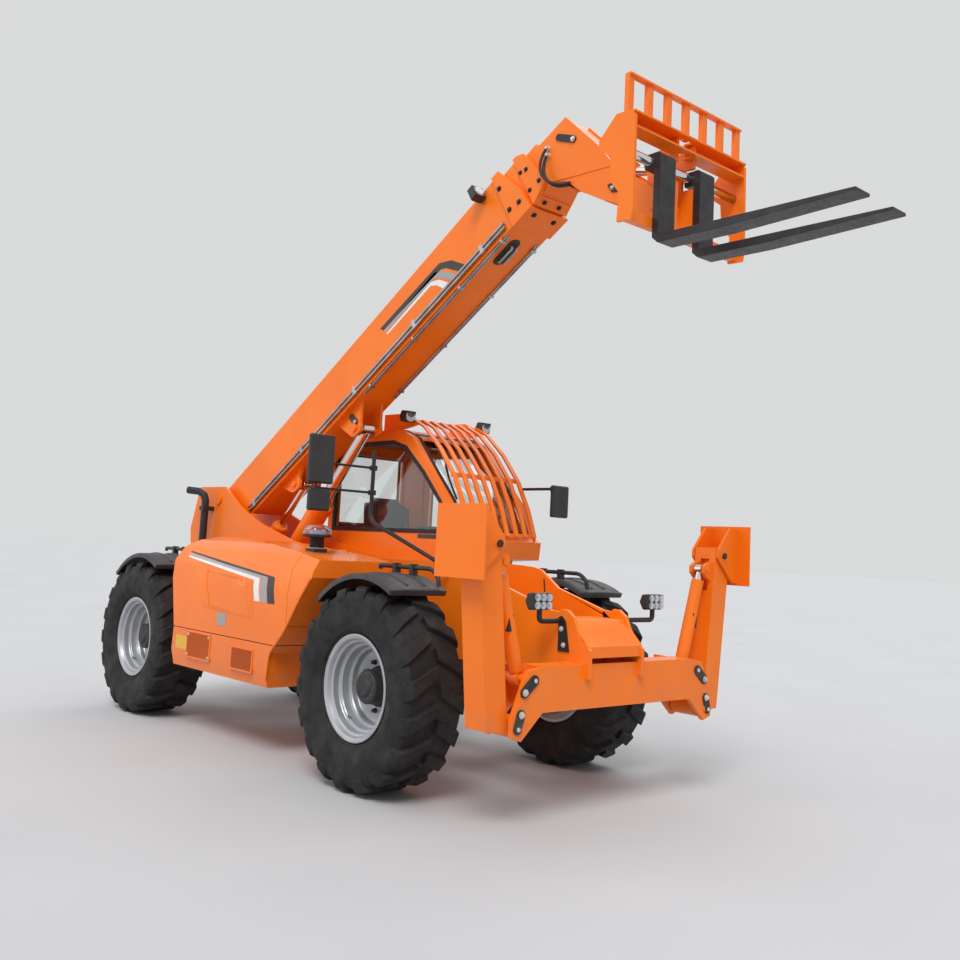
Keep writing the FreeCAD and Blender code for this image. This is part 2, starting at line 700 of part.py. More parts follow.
def build_boom():
    pivot = (boom_pivot_x, size.boom_y, size.boom_pivot_z)
    pitch = size.boom_angle
    half = size.outer_half_width
    top = size.outer_top
    bottom = size.outer_bottom
    wall = size.outer_wall
    end = size.outer_end
    proud = size.collar_proud

    tail = (
        (-60, 70), (-95, 20), (-90, -45), (-50, -90), (340, bottom), (end - size.collar_length, bottom),
        (end - size.collar_length, top), (60, top),
    )
    solid = prism("outer_tail", "Y", tail, -half, half)
    collar = prism("outer_collar", "Y", (
        (end - size.collar_length, bottom - proud), (end, bottom - proud), (end - 15, bottom + 170),
        (end - 120, top + proud), (end - size.collar_length, top + proud)), -half - proud, half + proud)
    brackets = []
    for name, u, v in (("lift", size.lift_eye_u, size.lift_eye_v),
                       ("levelling", size.levelling_eye_u, size.levelling_eye_v)):
        for index, y in enumerate((-110, 85)):
            points = ((u - 190, bottom + 2), (u - 75, v - 40), (u - 40, v - 58), (u + 40, v - 60), (u + 70, v - 30),
                      (u + 80, v + 10), (u + 170, bottom + 2))
            brackets.append(prism(f"outer_{name}_ear_{index}", "Y", points, y, y + 25))
        # Each ear holds its own end of the pin, so that the cylinder's eye has free way between them.
        for index, y in enumerate((-128, 60)):
            brackets.append(rod(f"outer_{name}_pin_{index}", "Y", (u, y, v), 68, 32 if name == "lift" else 26))
    joined = fuse("outer_solid", [solid, collar] + brackets)
    cavity = box("outer_cavity", (350, end - size.collar_length - 20), (-half + wall, half - wall),
                 (bottom + wall, top - wall))
    gap = size.slide_gap - size.fit
    mouth = box("outer_mouth", (300, end + 1), (-half + wall + gap, half - wall - gap),
                (bottom + wall + gap, top - wall - gap))
    bore = rod("outer_bore", "Y", (0, -half - 1, 0), half * 2 + 2, size.boom_pin_radius + size.fit)
    hollow = cut("outer_hollow", joined, fuse("outer_space", [cavity, mouth, bore]))
    finish("boom_outer", hollow, pivot, pitch)

    step = wall + size.slide_gap
    middle_half = half - step
    middle_top = top - step
    middle_bottom = bottom + step
    outside = box("middle_outside", (size.middle_start, size.middle_end), (-middle_half, middle_half),
                  (middle_bottom, middle_top))
    pad_grow = size.slide_gap - size.fit
    pads = box("middle_pads", (size.middle_start, size.middle_start + 140),
               (-middle_half - pad_grow, middle_half + pad_grow), (middle_bottom - pad_grow, middle_top + pad_grow))
    # The collar in front of the outer one: it tapers back from its lower lip.
    middle_end = size.middle_end
    nose = prism("middle_collar", "Y", (
        (end + 12, middle_bottom - 18), (middle_end + 88, middle_bottom + 50), (middle_end + 50, middle_top - 90),
        (middle_end + 27, middle_top - 20), (middle_end - 40, middle_top + 18), (end + 12, middle_top + 18)),
        -middle_half - 14, middle_half + 14)
    joined = fuse("middle_solid", [outside, pads, nose])
    wall = size.middle_wall
    cavity = box("middle_cavity", (size.middle_start - 1, end), (-middle_half + wall, middle_half - wall),
                 (middle_bottom + wall, middle_top - wall))
    mouth = box("middle_mouth", (size.middle_start, middle_end + 200),
                (-middle_half + wall + pad_grow, middle_half - wall - pad_grow),
                (middle_bottom + wall + pad_grow, middle_top - wall - pad_grow))
    finish("boom_middle", cut("middle_hollow", joined, fuse("middle_space", [cavity, mouth])), pivot, pitch)

    step = wall + size.slide_gap
    inner_half = middle_half - step
    inner_top = middle_top - step
    inner_bottom = middle_bottom + step
    wall = size.inner_wall
    tube = box("inner_outside", (size.inner_start, size.inner_end), (-inner_half, inner_half),
               (inner_bottom, inner_top))
    pads = box("inner_pads", (size.inner_start, size.inner_start + 130),
               (-inner_half - pad_grow, inner_half + pad_grow), (inner_bottom - pad_grow, inner_top + pad_grow))
    space = box("inner_cavity", (size.inner_start - 1, size.inner_end + 1), (-inner_half + wall, inner_half - wall),
                (inner_bottom + wall, inner_top - wall))
    tube = cut("inner_tube", fuse("inner_tube_solid", [tube, pads]), space)
    pin_u = size.carriage_pin_u
    pin_v = size.carriage_pin_v
    head_outline = (
        (middle_end + 95, 10), (4850, 0), (4960, -390), (4992, -596), (pin_u + 62, pin_v + 62),
        (pin_u + 78, pin_v), (pin_u + 55, pin_v - 55), (pin_u, pin_v - 78), (pin_u - 55, pin_v - 55),
        (4868, -820), (4705, -565), (4640, -400), (middle_end + 105, -300),
    )
    head = []
    for index, low in enumerate((-size.head_half_width, size.head_half_width - size.head_plate)):
        head.append(prism(f"head_plate_{index}", "Y", head_outline, low, low + size.head_plate))
    bridge = ((middle_end + 95, -2), (4840, -12), (4950, -390), (4930, -392), (4822, -35), (middle_end + 95, -25))
    head.append(prism("head_top", "Y", bridge, -size.head_half_width + 1, size.head_half_width - 1))
    sill = ((4640, -398), (4705, -563), (4745, -622), (4760, -610), (4723, -553), (4659, -395))
    head.append(prism("head_sill", "Y", sill, -size.head_half_width + 1, size.head_half_width - 1))
    tip_u = size.carriage_pin_u
    head.append(rod("head_tilt_pin", "Y", (size.tilt_base_u, -size.head_half_width, size.tilt_base_v),
                    size.head_half_width * 2, 28))
    joined = fuse("inner_solid", [tube] + head)
    bore = rod("head_bore", "Y", (tip_u, -size.head_half_width - 1, pin_v), size.head_half_width * 2 + 2,
               40 + size.fit)
    finish("boom_inner", cut("inner_bored", joined, bore), pivot, pitch)


# Cylinders: a barrel that swings on its lower pin and a rod that slides out of it

def build_cylinder(name, base, tip, y, barrel_radius, barrel_length, rod_radius, base_pin, tip_radius, stem_start):
    """Both pieces are drawn along X from the lower pin."""
    span_x = tip[0] - base[0]
    span_z = tip[1] - base[1]
    length = math.hypot(span_x, span_z)
    pitch = math.degrees(math.atan2(span_z, span_x))
    eye = base_pin + 24
    width = barrel_radius * 1.1
    pieces = [
        rod(f"{name}_barrel_tube", "X", (base_pin + 30, 0, 0), barrel_length - base_pin - 30, barrel_radius),
        rod(f"{name}_barrel_gland", "X", (barrel_length - 90, 0, 0), 80, barrel_radius + 7),
        rod(f"{name}_barrel_eye", "Y", (0, -width / 2, 0), width, eye),
        box(f"{name}_barrel_neck", (0, base_pin + 40), (-width / 2, width / 2), (-eye * 0.8, eye * 0.8)),
    ]
    solid = fuse(f"{name}_barrel_solid", pieces)
    hole = rod(f"{name}_barrel_hole", "Y", (0, -width, 0), width * 2, base_pin + size.fit)
    # The chamber behind the piston, open at the gland
    chamber = rod(f"{name}_chamber", "X", (base_pin + 70, 0, 0), barrel_length - base_pin, rod_radius + size.fit)
    barrel = cut(f"{name}_barrel_cut", solid, fuse(f"{name}_barrel_holes", [hole, chamber]))
    finish(f"{name}_barrel", barrel, (base[0], y, base[1]), pitch)
    stem = rod(f"{name}_rod_stem", "X", (stem_start, 0, 0), length - 8 - stem_start, rod_radius)
    # The eye's pin ends at its sides, so that the eye passes between the ears it is drawn on.
    ring = rod(f"{name}_rod_ring", "Y", (length, -rod_radius, 0), rod_radius * 2, tip_radius)
    pin = rod(f"{name}_rod_pin", "Y", (length, -rod_radius - 3, 0), rod_radius * 2 + 6, tip_radius - 18)
    finish(f"{name}_rod", fuse(f"{name}_rod_solid", [stem, ring, pin], refine=False), (base[0], y, base[1]), pitch)


def build_cylinders():
    boom_y = size.boom_y
    build_cylinder("lift", (lift_pin_x.value, size.lift_pin_z.value), lift_eye, boom_y,
                   size.lift_barrel_radius, size.lift_barrel_length, size.lift_rod_radius, 40,
                   size.lift_eye_radius, size.lift_stem_start)
    build_cylinder("levelling", (levelling_pin_x.value, size.levelling_pin_z.value), levelling_eye, boom_y,
                   size.levelling_barrel_radius, size.levelling_barrel_length, size.levelling_rod_radius, 30,
                   size.levelling_eye_radius, size.levelling_stem_start)
    build_cylinder("tilt", tilt_base, tilt_pin, boom_y,
                   size.tilt_barrel_radius, size.tilt_barrel_length, size.tilt_rod_radius, 28,
                   size.tilt_eye_radius, size.tilt_stem_start)


# Carriage and forks

def build_carriage():
    """Drawn from the carriage pin: x forward of it and z above it."""
    half = size.carriage_half_width
    plate = size.carriage_plate
    centre = size.boom_y
    fork_back = size.fork_face_ahead - size.fork_thickness
    top = size.backrest_rise
    side_outline = (
        (49, 411), (169, 407), (190, 374), (194, -179), (182, -237), (77, -235), (87, -62),
        (25, 9), (13, 164), (-72, 229), (-79, 279),
    )
    pieces = []
    for name, low in (("right", centre - half), ("left", centre + half - plate)):
        pieces.append(prism(f"carriage_{name}_plate", "Y", side_outline, low, low + plate))
    eye_x = size.tilt_pin_dx
    eye_z = size.tilt_pin_dz
    # The ears stand between the head's plates, on each side of the tilt cylinder.
    ear_outline = (
        (-62, 30), (-62, -40), (0, -72), (fork_back - 15, -211), (fork_back - 5, -211), (fork_back - 5, 119),
        (49, 119), (49, 245), (fork_back - 5, 245), (fork_back - 5, 389), (87, 389), (eye_x - 40, eye_z + 45),
        (eye_x - 55, eye_z - 10),
    )
    ear_inside = size.tilt_barrel_radius + 14
    ear_plate = 22
    for name, side in SIDES:
        low, high = sorted_span(side, ear_inside, ear_inside + ear_plate)
        pieces.append(prism(f"carriage_{name}_ear", "Y", ear_outline, centre + low, centre + high))
        # Each ear holds its own end of the tilt cylinder's pin.
        low, high = sorted_span(side, 45, ear_inside + ear_plate + 5)
        pieces.append(rod(f"carriage_{name}_tilt_pin", "Y", (eye_x, centre + low, eye_z), high - low, 26))
    span = (centre - half + 1, centre + half - 1)
    top_outline = ((77, 304), (189, 304), (189, 316), (89, 316), (89, 392), (189, 392), (189, 404), (77, 404))
    top_beam = prism("carriage_top_rail", "Y", top_outline, *span)
    # The rail's back is open in the middle, where the tilt cylinder's eye comes when the forks tip back.
    notch = box("carriage_notch", (37, 142), (centre - 45, centre + 45), (289, 405))
    pieces.append(cut("carriage_top_beam", top_beam, notch))
    pieces.append(box("carriage_lower_bar", (92, fork_back - size.fit), span, (-226, -161)))
    pieces.append(rod("carriage_fork_bar", "Y", (size.fork_bar_ahead, span[0], size.fork_bar_rise), half * 2 - 2,
                      size.fork_bar_radius))
    reach = size.head_half_width + 22
    pieces.append(rod("carriage_pin", "Y", (0, centre - reach, 0), reach * 2, 40))
    # Backrest: posts at even steps under a flat top bar
    count = 7
    width = 45
    for index in range(count):
        start = centre - half + (half * 2 - width) / (count - 1) * index
        pieces.append(box(f"carriage_backrest_{index}", (105, 137), (start, start + width), (399, top - 1)))
    pieces.append(box("carriage_backrest_top", (105, 149), (centre - half, centre + half), (top - 14, top)))
    finish("carriage", fuse("carriage_solid", pieces), (carriage_pin[0], 0, carriage_pin[1]))


def build_forks():
    """Drawn from the carriage pin, as the carriage is."""
    face = size.fork_face_ahead
    thick = size.fork_thickness
    top = -size.fork_top_drop
    tip = face + size.fork_length
    bar_z = size.fork_bar_rise
    bar_x = size.fork_bar_ahead
    outline = (
        (face, top), (tip, top), (tip, top - 18), (face + 420, top - thick), (face - 10, top - thick),
        (face - thick + 0, top - thick + 35), (face - thick, bar_z - 45), (bar_x - 34, bar_z - 45),
        (bar_x - 44, bar_z), (bar_x - 30, bar_z + 44), (face - 20, bar_z + 48), (face, bar_z + 30),
    )
    forks = []
    for name, middle in (("right", size.right_fork_y), ("left", size.left_fork_y)):
        blank = prism(f"{name}_fork_blank", "Y", outline, middle - size.fork_width / 2, middle + size.fork_width / 2)
        hole = rod(f"{name}_fork_eye", "Y", (bar_x, middle - size.fork_width, bar_z), size.fork_width * 2,
                   size.fork_bar_radius + size.fit)
        forks.append(cut(f"{name}_fork", blank, hole))
    pair = add("Part::Compound", "fork_pair")
    pair.Links = forks
    finish("forks", pair, (carriage_pin[0], 0, carriage_pin[1]))


# Stabilisers

def build_stabiliser(name, side):
    pin = (size.leg_pin_y, size.leg_pin_z)
    foot_pin = (size.foot_pin_y, size.foot_pin_z)
    front = size.leg_front_x
    back = front - size.leg_depth
    wide = size.leg_width
    lug_y = size.leg_lug_y
    lug_z = size.leg_lug_z
    # The leg's face across the machine: y and z, leaning out from its lower pin
    points = (
        (side * (pin[0] + 38), pin[1] - 40), (side * (pin[0] + 38 + wide), pin[1] - 20),
        (side * (foot_pin[0] + 118), foot_pin[1] + 55), (side * (foot_pin[0] - 42), foot_pin[1] + 55),
    )
    box_leg = prism(f"{name}_leg_box", "X", points, back, front)
    knuckle = rod(f"{name}_leg_knuckle", "X", (back - 15, side * pin[0], pin[1]), front - back + 15, 62)
    boss = rod(f"{name}_leg_boss", "X", (back, side * foot_pin[0], foot_pin[1]), front - back, 48)
    lug = prism(f"{name}_leg_lug", "X", (
        (side * (lug_y + 90), lug_z - 120), (side * (lug_y - 12), lug_z - 46), (side * (lug_y - 36), lug_z - 20),
        (side * (lug_y - 36), lug_z + 20), (side * (lug_y - 12), lug_z + 40), (side * (lug_y + 90), lug_z + 70)),
        back + 20, front - 20)
    solid = fuse(f"{name}_leg_solid", [box_leg, knuckle, boss, lug])
    slot = box(f"{name}_leg_slot", (back + 50, front - 50), sorted_span(side, lug_y - 60, lug_y + 85),
               (lug_z - 140, lug_z + 75))
    holes = [
        rod(f"{name}_leg_hole", "X", (back - 30, side * pin[0], pin[1]), front - back + 60, 26 + size.fit),
        rod(f"{name}_foot_hole", "X", (back - 30, side * foot_pin[0], foot_pin[1]), front - back + 60, 22 + size.fit),
        slot,
    ]
    cut_leg = cut(f"{name}_leg_cut", solid, fuse(f"{name}_leg_holes", holes))
    pins = [rod(f"{name}_lug_pin_{index}", "X", (start, side * lug_y, lug_z), 36, 20)
            for index, start in enumerate((back + 10, front - 46))]
    finish(f"stabiliser_leg_{name}", fuse(f"{name}_leg_whole", [cut_leg] + pins))

    # Foot: a sole plate with two ears and a pin
    sole = size.sole_y
    centre_x = (front + back) / 2
    half = size.sole_half_length
    low, high = sorted_span(side, sole - size.sole_thickness, sole)
    pieces = [box(f"{name}_sole", (centre_x - half, centre_x + half), (low, high), (1380, 1785))]
    ear = (
        (side * (sole - 5), 1395), (side * (sole - 60), 1395), (side * (foot_pin[0] + 6), foot_pin[1] - 70),
        (side * (foot_pin[0] - 52), foot_pin[1] - 12), (side * (foot_pin[0] - 48), foot_pin[1] + 40),
        (side * (sole - 100), 1770), (side * (sole - 5), 1770),
    )
    for index, start in enumerate((back - 26, front + 6)):
        pieces.append(prism(f"{name}_foot_ear_{index}", "X", ear, start, start + 20))
    pieces.append(rod(f"{name}_foot_pin", "X", (back - 36, side * foot_pin[0], foot_pin[1]),
                      size.leg_depth + 72, 22))
    finish(f"stabiliser_foot_{name}", fuse(f"{name}_foot_solid", pieces))

    build_leg_cylinder(name, side)


def build_leg_cylinder(name, side):
    base = (size.leg_cylinder_pin_y.value, size.leg_cylinder_pin_z.value)
    tip = (size.leg_lug_y.value, size.leg_lug_z.value)
    length = math.hypot(tip[0] - base[0], tip[1] - base[1])
    lean = math.degrees(math.atan2(tip[1] - base[1], tip[0] - base[0]))
    centre_x = size.leg_front_x.value - size.leg_depth.value / 2
    barrel_length = size.leg_barrel_length
    rod_radius = size.leg_rod_radius
    tube = rod(f"{name}_leg_barrel_tube", "Z", (0, 0, 40), barrel_length - 40, size.leg_barrel_radius)
    eye = rod(f"{name}_leg_barrel_eye", "X", (-32, 0, 0), 64, 46)
    hole = rod(f"{name}_leg_barrel_hole", "X", (-60, 0, 0), 120, 26 + size.fit)
    chamber = rod(f"{name}_leg_chamber", "Z", (0, 0, 85), barrel_length, rod_radius + size.fit)
    barrel = cut(f"{name}_leg_barrel_cut", fuse(f"{name}_leg_barrel_solid", [tube, eye]),
                 fuse(f"{name}_leg_barrel_holes", [hole, chamber]))
    start = size.leg_stem_start
    stem = rod(f"{name}_leg_stem", "Z", (0, 0, start), length - 8 - start, rod_radius)
    ring = rod(f"{name}_leg_ring", "X", (-26, 0, length), 52, 34)
    piston = fuse(f"{name}_leg_rod_solid", [stem, ring], refine=False)
    turn = FreeCAD.Rotation(FreeCAD.Vector(1, 0, 0), side * (lean - 90))
    for label, item in ((f"stabiliser_barrel_{name}", barrel), (f"stabiliser_rod_{name}", piston)):
        item.Placement = FreeCAD.Placement(FreeCAD.Vector(centre_x, side * base[0], base[1]), turn)
        finish(label, item)


# Engine pod

def pod_profile(inset, bottom):
    """The pod's side outline, x and z, with every edge moved in by a wall."""
    crown = size.pod_crown_z - inset
    return (
        (pod_rear_x + inset, bottom), (pod_rear_x + inset + 14, size.pod_seam_z),
        (pod_rear_x - 106 + inset, 1318), (pod_rear_x - 66 + inset, crown - 70),
        (pod_rear_x + 74 + inset, crown), (between_axles(-1500), crown - 20), (hood_split_x, crown - 85),
        (pod_front_x - inset, crown - 120), (pod_front_x - inset, 1290), (-660 - inset, 1136),
        (-830 - inset, 900), (-1000 - inset, 740), (-1030 - inset, bottom),
    )


def pod_section(inset, low):
    """The pod across the machine, y and z."""
    outer = size.pod_outer_y + inset
    inner = size.pod_inner_y - inset
    crown = size.pod_crown_z - inset
    return (
        (inner, low), (outer + 30, low), (outer, 620), (outer, 1180), (outer + 25, 1330), (outer + 85, 1430),
        (outer + 180, crown - 35), (outer + 320, crown), (outer + 470, crown), (inner - 90, crown - 20),
        (inner, crown - 90),
    )


def hinge_halves(owner, leaf_from, along):
    """Barrels on the hood's hinge line, each on a leaf that lies on its owner's top."""
    line_y = size.pod_inner_y - size.pod_wall
    line_z = size.pod_crown_z - 60
    radius = size.hood_hinge_radius
    low, high = (leaf_from, line_y) if owner == "hood" else (line_y, leaf_from)
    halves = []
    for index, place in enumerate((-2250, -1150)):
        start = between_axles(place) + along
        halves.append(rod(f"{owner}_hinge_{index}", "X", (start, line_y, line_z), 44, radius))
        halves.append(box(f"{owner}_hinge_leaf_{index}", (start, start + 44), (low, high),
                          (line_z - 34, line_z - radius / 2)))
    return halves


def build_pod():
    rear = pod_rear_x - 150
    front = pod_front_x + 50
    bottom = size.pod_bottom
    wall = size.pod_wall
    outer_form = common("pod_outer_form",
                        prism("pod_side", "Y", pod_profile(0, bottom), size.pod_outer_y - 10, size.pod_inner_y + 10),
                        prism("pod_across", "X", pod_section(0, bottom), rear, front))
    inner_form = common("pod_inner_form",
                        prism("pod_side_in", "Y", pod_profile(wall, bottom + wall), size.pod_outer_y - 10,
                              size.pod_inner_y + 10),
                        prism("pod_across_in", "X", pod_section(wall, bottom + wall), rear, front))
    shell = cut("pod_shell", outer_form, inner_form)
    # The hood is the shell above the seam and behind the split; its inner side stays open.
    hood_zone = box("hood_zone", (rear, hood_split_x - size.door_gap / 2),
                    (size.pod_outer_y - 20, size.pod_inner_y - wall - size.fit),
                    (size.pod_seam_z + size.door_gap / 2, size.pod_crown_z + 10))
    hood_shell = common("hood_solid", shell, hood_zone)
    inner_edge = size.pod_inner_y - wall
    finish("engine_hood", fuse("hood_whole", [hood_shell] + hinge_halves("hood", inner_edge - 22, 45)))
    skirt_zone = box("skirt_zone", (rear, hood_split_x + size.door_gap / 2),
                     (size.pod_outer_y - 20, size.pod_inner_y - wall),
                     (size.pod_seam_z - size.door_gap / 2, size.pod_crown_z + 10))
    skirt_shell = cut("skirt_cut", shell, skirt_zone)
    finish("engine_skirt", fuse("skirt_solid", [skirt_shell] + hinge_halves("skirt", size.pod_inner_y - 12, 0)))
    engine = (pod_rear_x + 194, -size.hood_split_gap - 450)
    block = box("engine_solid", engine, (-980, -500), (bottom + wall + 90, 1230))
    feet = [box(f"engine_foot_{index}", (x, x + 90), (y, y + 90), (bottom + wall + size.fit, bottom + wall + 95))
            for index, (x, y) in enumerate(((engine[0] + 40, -940), (engine[0] + 40, -620),
                                            (engine[1] - 140, -940), (engine[1] - 140, -620)))]
    finish("engine_block", fuse("engine_whole", [block] + feet))


# Cab

DOOR_HINGES = (1150, 2150)


def cab_profile(inset):
    """The cab's side outline, x and z, with every edge moved in by a wall."""
    x = between_axles
    z = cab_height
    roof = size.cab_roof_z - inset
    front = cab_front_x - inset
    return (
        (cab_rear_x + inset, size.cab_floor_z + inset), (cab_rear_x + inset, roof - 60),
        (cab_rear_x + 70 + inset, roof), (x(-1330) - inset * 0.4, roof), (x(-1150) - inset * 0.8, roof - 70),
        (x(-900) - inset, z(2134) - inset * 0.5), (x(-671) - inset, z(1898) - inset * 0.3),
        (x(-540) - inset, size.cab_sill_z), (front, size.cab_sill_z - 30), (front - 15, size.cab_sill_z - 170 + inset),
        (x(-790) - inset, size.cab_sill_z - 190 + inset), (x(-870) - inset, size.cab_floor_z + inset),
    )


def build_cab():
    x = between_axles
    z = cab_height
    right = size.cab_right_y
    left = size.cab_left_y
    wall = size.cab_wall
    outer = prism("cab_outer", "Y", cab_profile(0), right, left)
    inner = prism("cab_inner", "Y", cab_profile(wall), right + wall, left - wall)
    sill = size.cab_sill_z
    roof = size.cab_roof_z
    rear = cab_rear_x
    side_window = (
        (rear + 90, sill + 20), (rear + 90, roof - 110), (x(-1400), roof - 110), (x(-1230), roof - 160),
        (x(-985), z(2115)), (x(-760), z(1885)), (x(-640), sill + 20),
    )
    right_window = prism("cab_right_window", "Y", side_window, right - 10, right + wall + 10)
    # The door opening reaches from the floor to the roof rail.
    door_opening = prism("cab_door_opening", "Y", door_outline(0), left - wall - 10, left + 10)
    front_window = box("cab_front_window", (x(-1420), x(-400)), (right + 70, left - 70), (sill + 10, roof - 90))
    rear_window = box("cab_rear_window", (rear - 10, rear + wall + 10), (right + 80, left - 80),
                      (sill + 60, roof - 160))
    tools = fuse("cab_space", [inner, right_window, door_opening, front_window, rear_window])
    solid = cut("cab_solid", outer, tools)
    # Fixed hinge halves beside the door's rear edge
    hinge = (door_hinge_x, left + size.hinge_radius)
    leaves = []
    for index, level in enumerate(DOOR_HINGES):
        leaves.append(box(f"cab_hinge_leaf_{index}", (hinge[0] - 70, hinge[0]), (left - 1, left + 6),
                          (level, level + 40)))
        leaves.append(rod(f"cab_hinge_{index}", "Z", (*hinge, level), 40, size.hinge_radius))
    finish("cab_frame", fuse("cab_with_hinges", [solid] + leaves))

    thick = size.glass_thickness
    panes = []
    panes.append(prism("cab_right_pane", "Y", side_window_inset(side_window), right + 20, right + 20 + thick))
    panes.append(box("cab_rear_pane", (rear + 25, rear + 25 + thick), (right + 80 + size.fit, left - 80 - size.fit),
                     (sill + 60 + size.fit, roof - 160 - size.fit)))
    windscreen = (
        (x(-1285), roof - 90 - size.fit), (x(-1190), roof - 110), (x(-940), z(2110)), (x(-712), z(1875)),
        (x(-585), sill + 10 + size.fit), (x(-585) - 7, sill + 10 + size.fit), (x(-712) - 7, z(1875) - 4),
        (x(-940) - 6, z(2110) - 5), (x(-1190) - 4, roof - 116), (x(-1285) - 13, roof - 90 - size.fit),
    )
    panes.append(prism("cab_windscreen", "Y", windscreen, right + 70 + size.fit, left - 70 - size.fit))
    glass = add("Part::Compound", "cab_panes")
    glass.Links = panes
    finish("cab_glass", glass)

    door_blank = prism("door_blank", "Y", door_outline(size.door_gap), left - 45, left)
    opening = prism("door_window", "Y", door_outline(75, sill - 420), left - 60, left + 10)
    leaf = [cut("door_solid", door_blank, opening)]
    for index, level in enumerate(DOOR_HINGES):
        low = level + 40 + size.fit
        leaf.append(box(f"door_hinge_leaf_{index}", (hinge[0], hinge[0] + 80), (left - 1, left + 6), (low, low + 40)))
        leaf.append(rod(f"door_hinge_{index}", "Z", (*hinge, low), 40, size.hinge_radius))
    finish("cab_door", fuse("door_with_hinges", leaf))
    finish("cab_door_glass", prism("door_pane", "Y", door_outline(75 + size.fit, sill - 420 + size.fit),
                                   left - 28, left - 28 + thick))


def side_window_inset(points):
    gap = size.fit
    signs = ((1, 1), (1, -1), (0, -1), (-1, -1), (-1, -1), (-1, 0), (-1, 1))
    return tuple((x + gap * a, z + gap * b) for (x, z), (a, b) in zip(points, signs))


def door_outline(inset, floor=None):
    """The door's outline, x and z, drawn in by a gap or a frame's width."""
    x = between_axles
    low = size.cab_floor_z + 70 + inset if floor is None else floor
    roof = size.cab_roof_z - 90 - inset
    rear = door_hinge_x + inset
    return (
        (rear, low), (rear, roof), (x(-1330) - inset * 0.4, roof), (x(-1190) - inset * 0.8, roof - 70),
        (x(-960) - inset, cab_height(2105)), (x(-930) - inset, cab_height(1700)), (x(-930) - inset, low),
    )


def build_cab_inside():
    x = between_axles
    middle = (size.cab_right_y + size.cab_left_y) / 2
    floor = size.cab_floor_z + size.cab_wall + size.fit
    seat = [
        box("seat_base", (x(-1980), x(-1560)), (middle - 190, middle + 190), (floor, floor + 220)),
        box("seat_cushion", (x(-2010), x(-1500)), (middle - 240, middle + 240), (floor + 215, floor + 350)),
        prism("seat_back", "Y", ((x(-2010), floor + 340), (x(-1890), floor + 340), (x(-1960), floor + 1000),
                                 (x(-2060), floor + 1000)), middle - 230, middle + 230),
    ]
    finish("driver_seat", fuse("seat_solid", seat))
    column = [
        box("console_foot", (x(-1180), x(-960)), (middle - 160, middle + 160), (floor, floor + 460)),
        prism("console_neck", "Y", ((x(-1150), floor + 440), (x(-1010), floor + 440), (x(-1190), floor + 740),
                                    (x(-1250), floor + 710)), middle - 40, middle + 40),
    ]
    wheel = rod("console_wheel", "Z", (x(-1245), middle, floor + 715), 25, 190)
    wheel_hole = rod("console_wheel_gap", "Z", (x(-1245), middle, floor + 710), 40, 160)
    spoke = box("console_spoke", (x(-1245) - 175, x(-1245) + 175), (middle - 25, middle + 25),
                (floor + 718, floor + 736))
    rim = cut("console_wheel_rim", wheel, wheel_hole)
    finish("steering_console", fuse("console_solid", column + [rim, spoke]))


def build_guard():
    """Curved flat bars over the windscreen, joined by three cross bars."""
    right = size.cab_right_y + 55
    left = size.cab_left_y - 50
    x = between_axles
    z = cab_height
    sill = size.cab_sill_z
    outer = ((x(-1240), z(2575)), (x(-1085), z(2500)), (x(-880), z(2325)), (x(-690), z(2105)), (x(-555), z(1865)),
             (x(-470), sill + 10))
    inner = ((x(-470) - 15, sill + 10), (x(-555) - 14, z(1865) - 7), (x(-690) - 11, z(2105) - 9),
             (x(-880) - 9, z(2325) - 10), (x(-1085) - 7, z(2500) - 12), (x(-1240) - 5, z(2575) - 15))
    count = 8
    width = 42
    pieces = []
    for index in range(count):
        start = right + (left - right - width) / (count - 1) * index
        pieces.append(prism(f"guard_bar_{index}", "Y", outer + inner, start, start + width))
    crossings = (("top", x(-1243), z(2545)), ("middle", x(-702), z(2098)), ("foot", x(-486), sill + 12))
    for name, place, level in crossings:
        pieces.append(box(f"guard_{name}", (place - 14, place + 2), (right, left), (level - 14, level + 22)))
    # Plates that stand the guard on the cab's roof, and feet on its nose
    roof = size.cab_roof_z + size.fit
    for name, y in (("right", right), ("left", left - 12)):
        side_plate = ((x(-1620), roof), (x(-1620), z(2623)), (x(-1412), z(2619)), (x(-1136), z(2520)),
                      (x(-1245), z(2500)), (x(-1398), roof))
        pieces.append(prism(f"guard_{name}_bracket", "Y", side_plate, y, y + 12))
        # The foot plate's lower edge follows the nose's slope.
        foot_plate = ((cab_front_x - 30, sill - 16), (cab_front_x - 12, sill - 24), (cab_front_x - 12, sill + 20),
                      (cab_front_x - 30, sill + 20))
        pieces.append(prism(f"guard_{name}_foot_plate", "Y", foot_plate, y, y + 12))
    finish("cab_guard", fuse("guard_solid", pieces))


def build_tank():
    low = size.boom_y + size.chassis_half_width + size.fit
    high = size.cab_left_y - 20
    top = size.cab_floor_z - 70 - size.fit
    x = between_axles
    pieces = [box("tank_solid", (x(-2250), x(-1300)), (low, high), (520, top)),
              box("step_well", (x(-1290), x(-1000)), (low, high - 250), (520, top)),
              box("tank_link", (x(-1300) - 1, x(-1290) + 1), (low, high - 260), (540, top - 20))]
    for index, level in enumerate((540, 680)):
        pieces.append(box(f"cab_step_{index}", (x(-1290), x(-1000)), (high - 251, high + 10), (level, level + 20)))
    finish("fuel_tank", fuse("tank_whole", pieces))


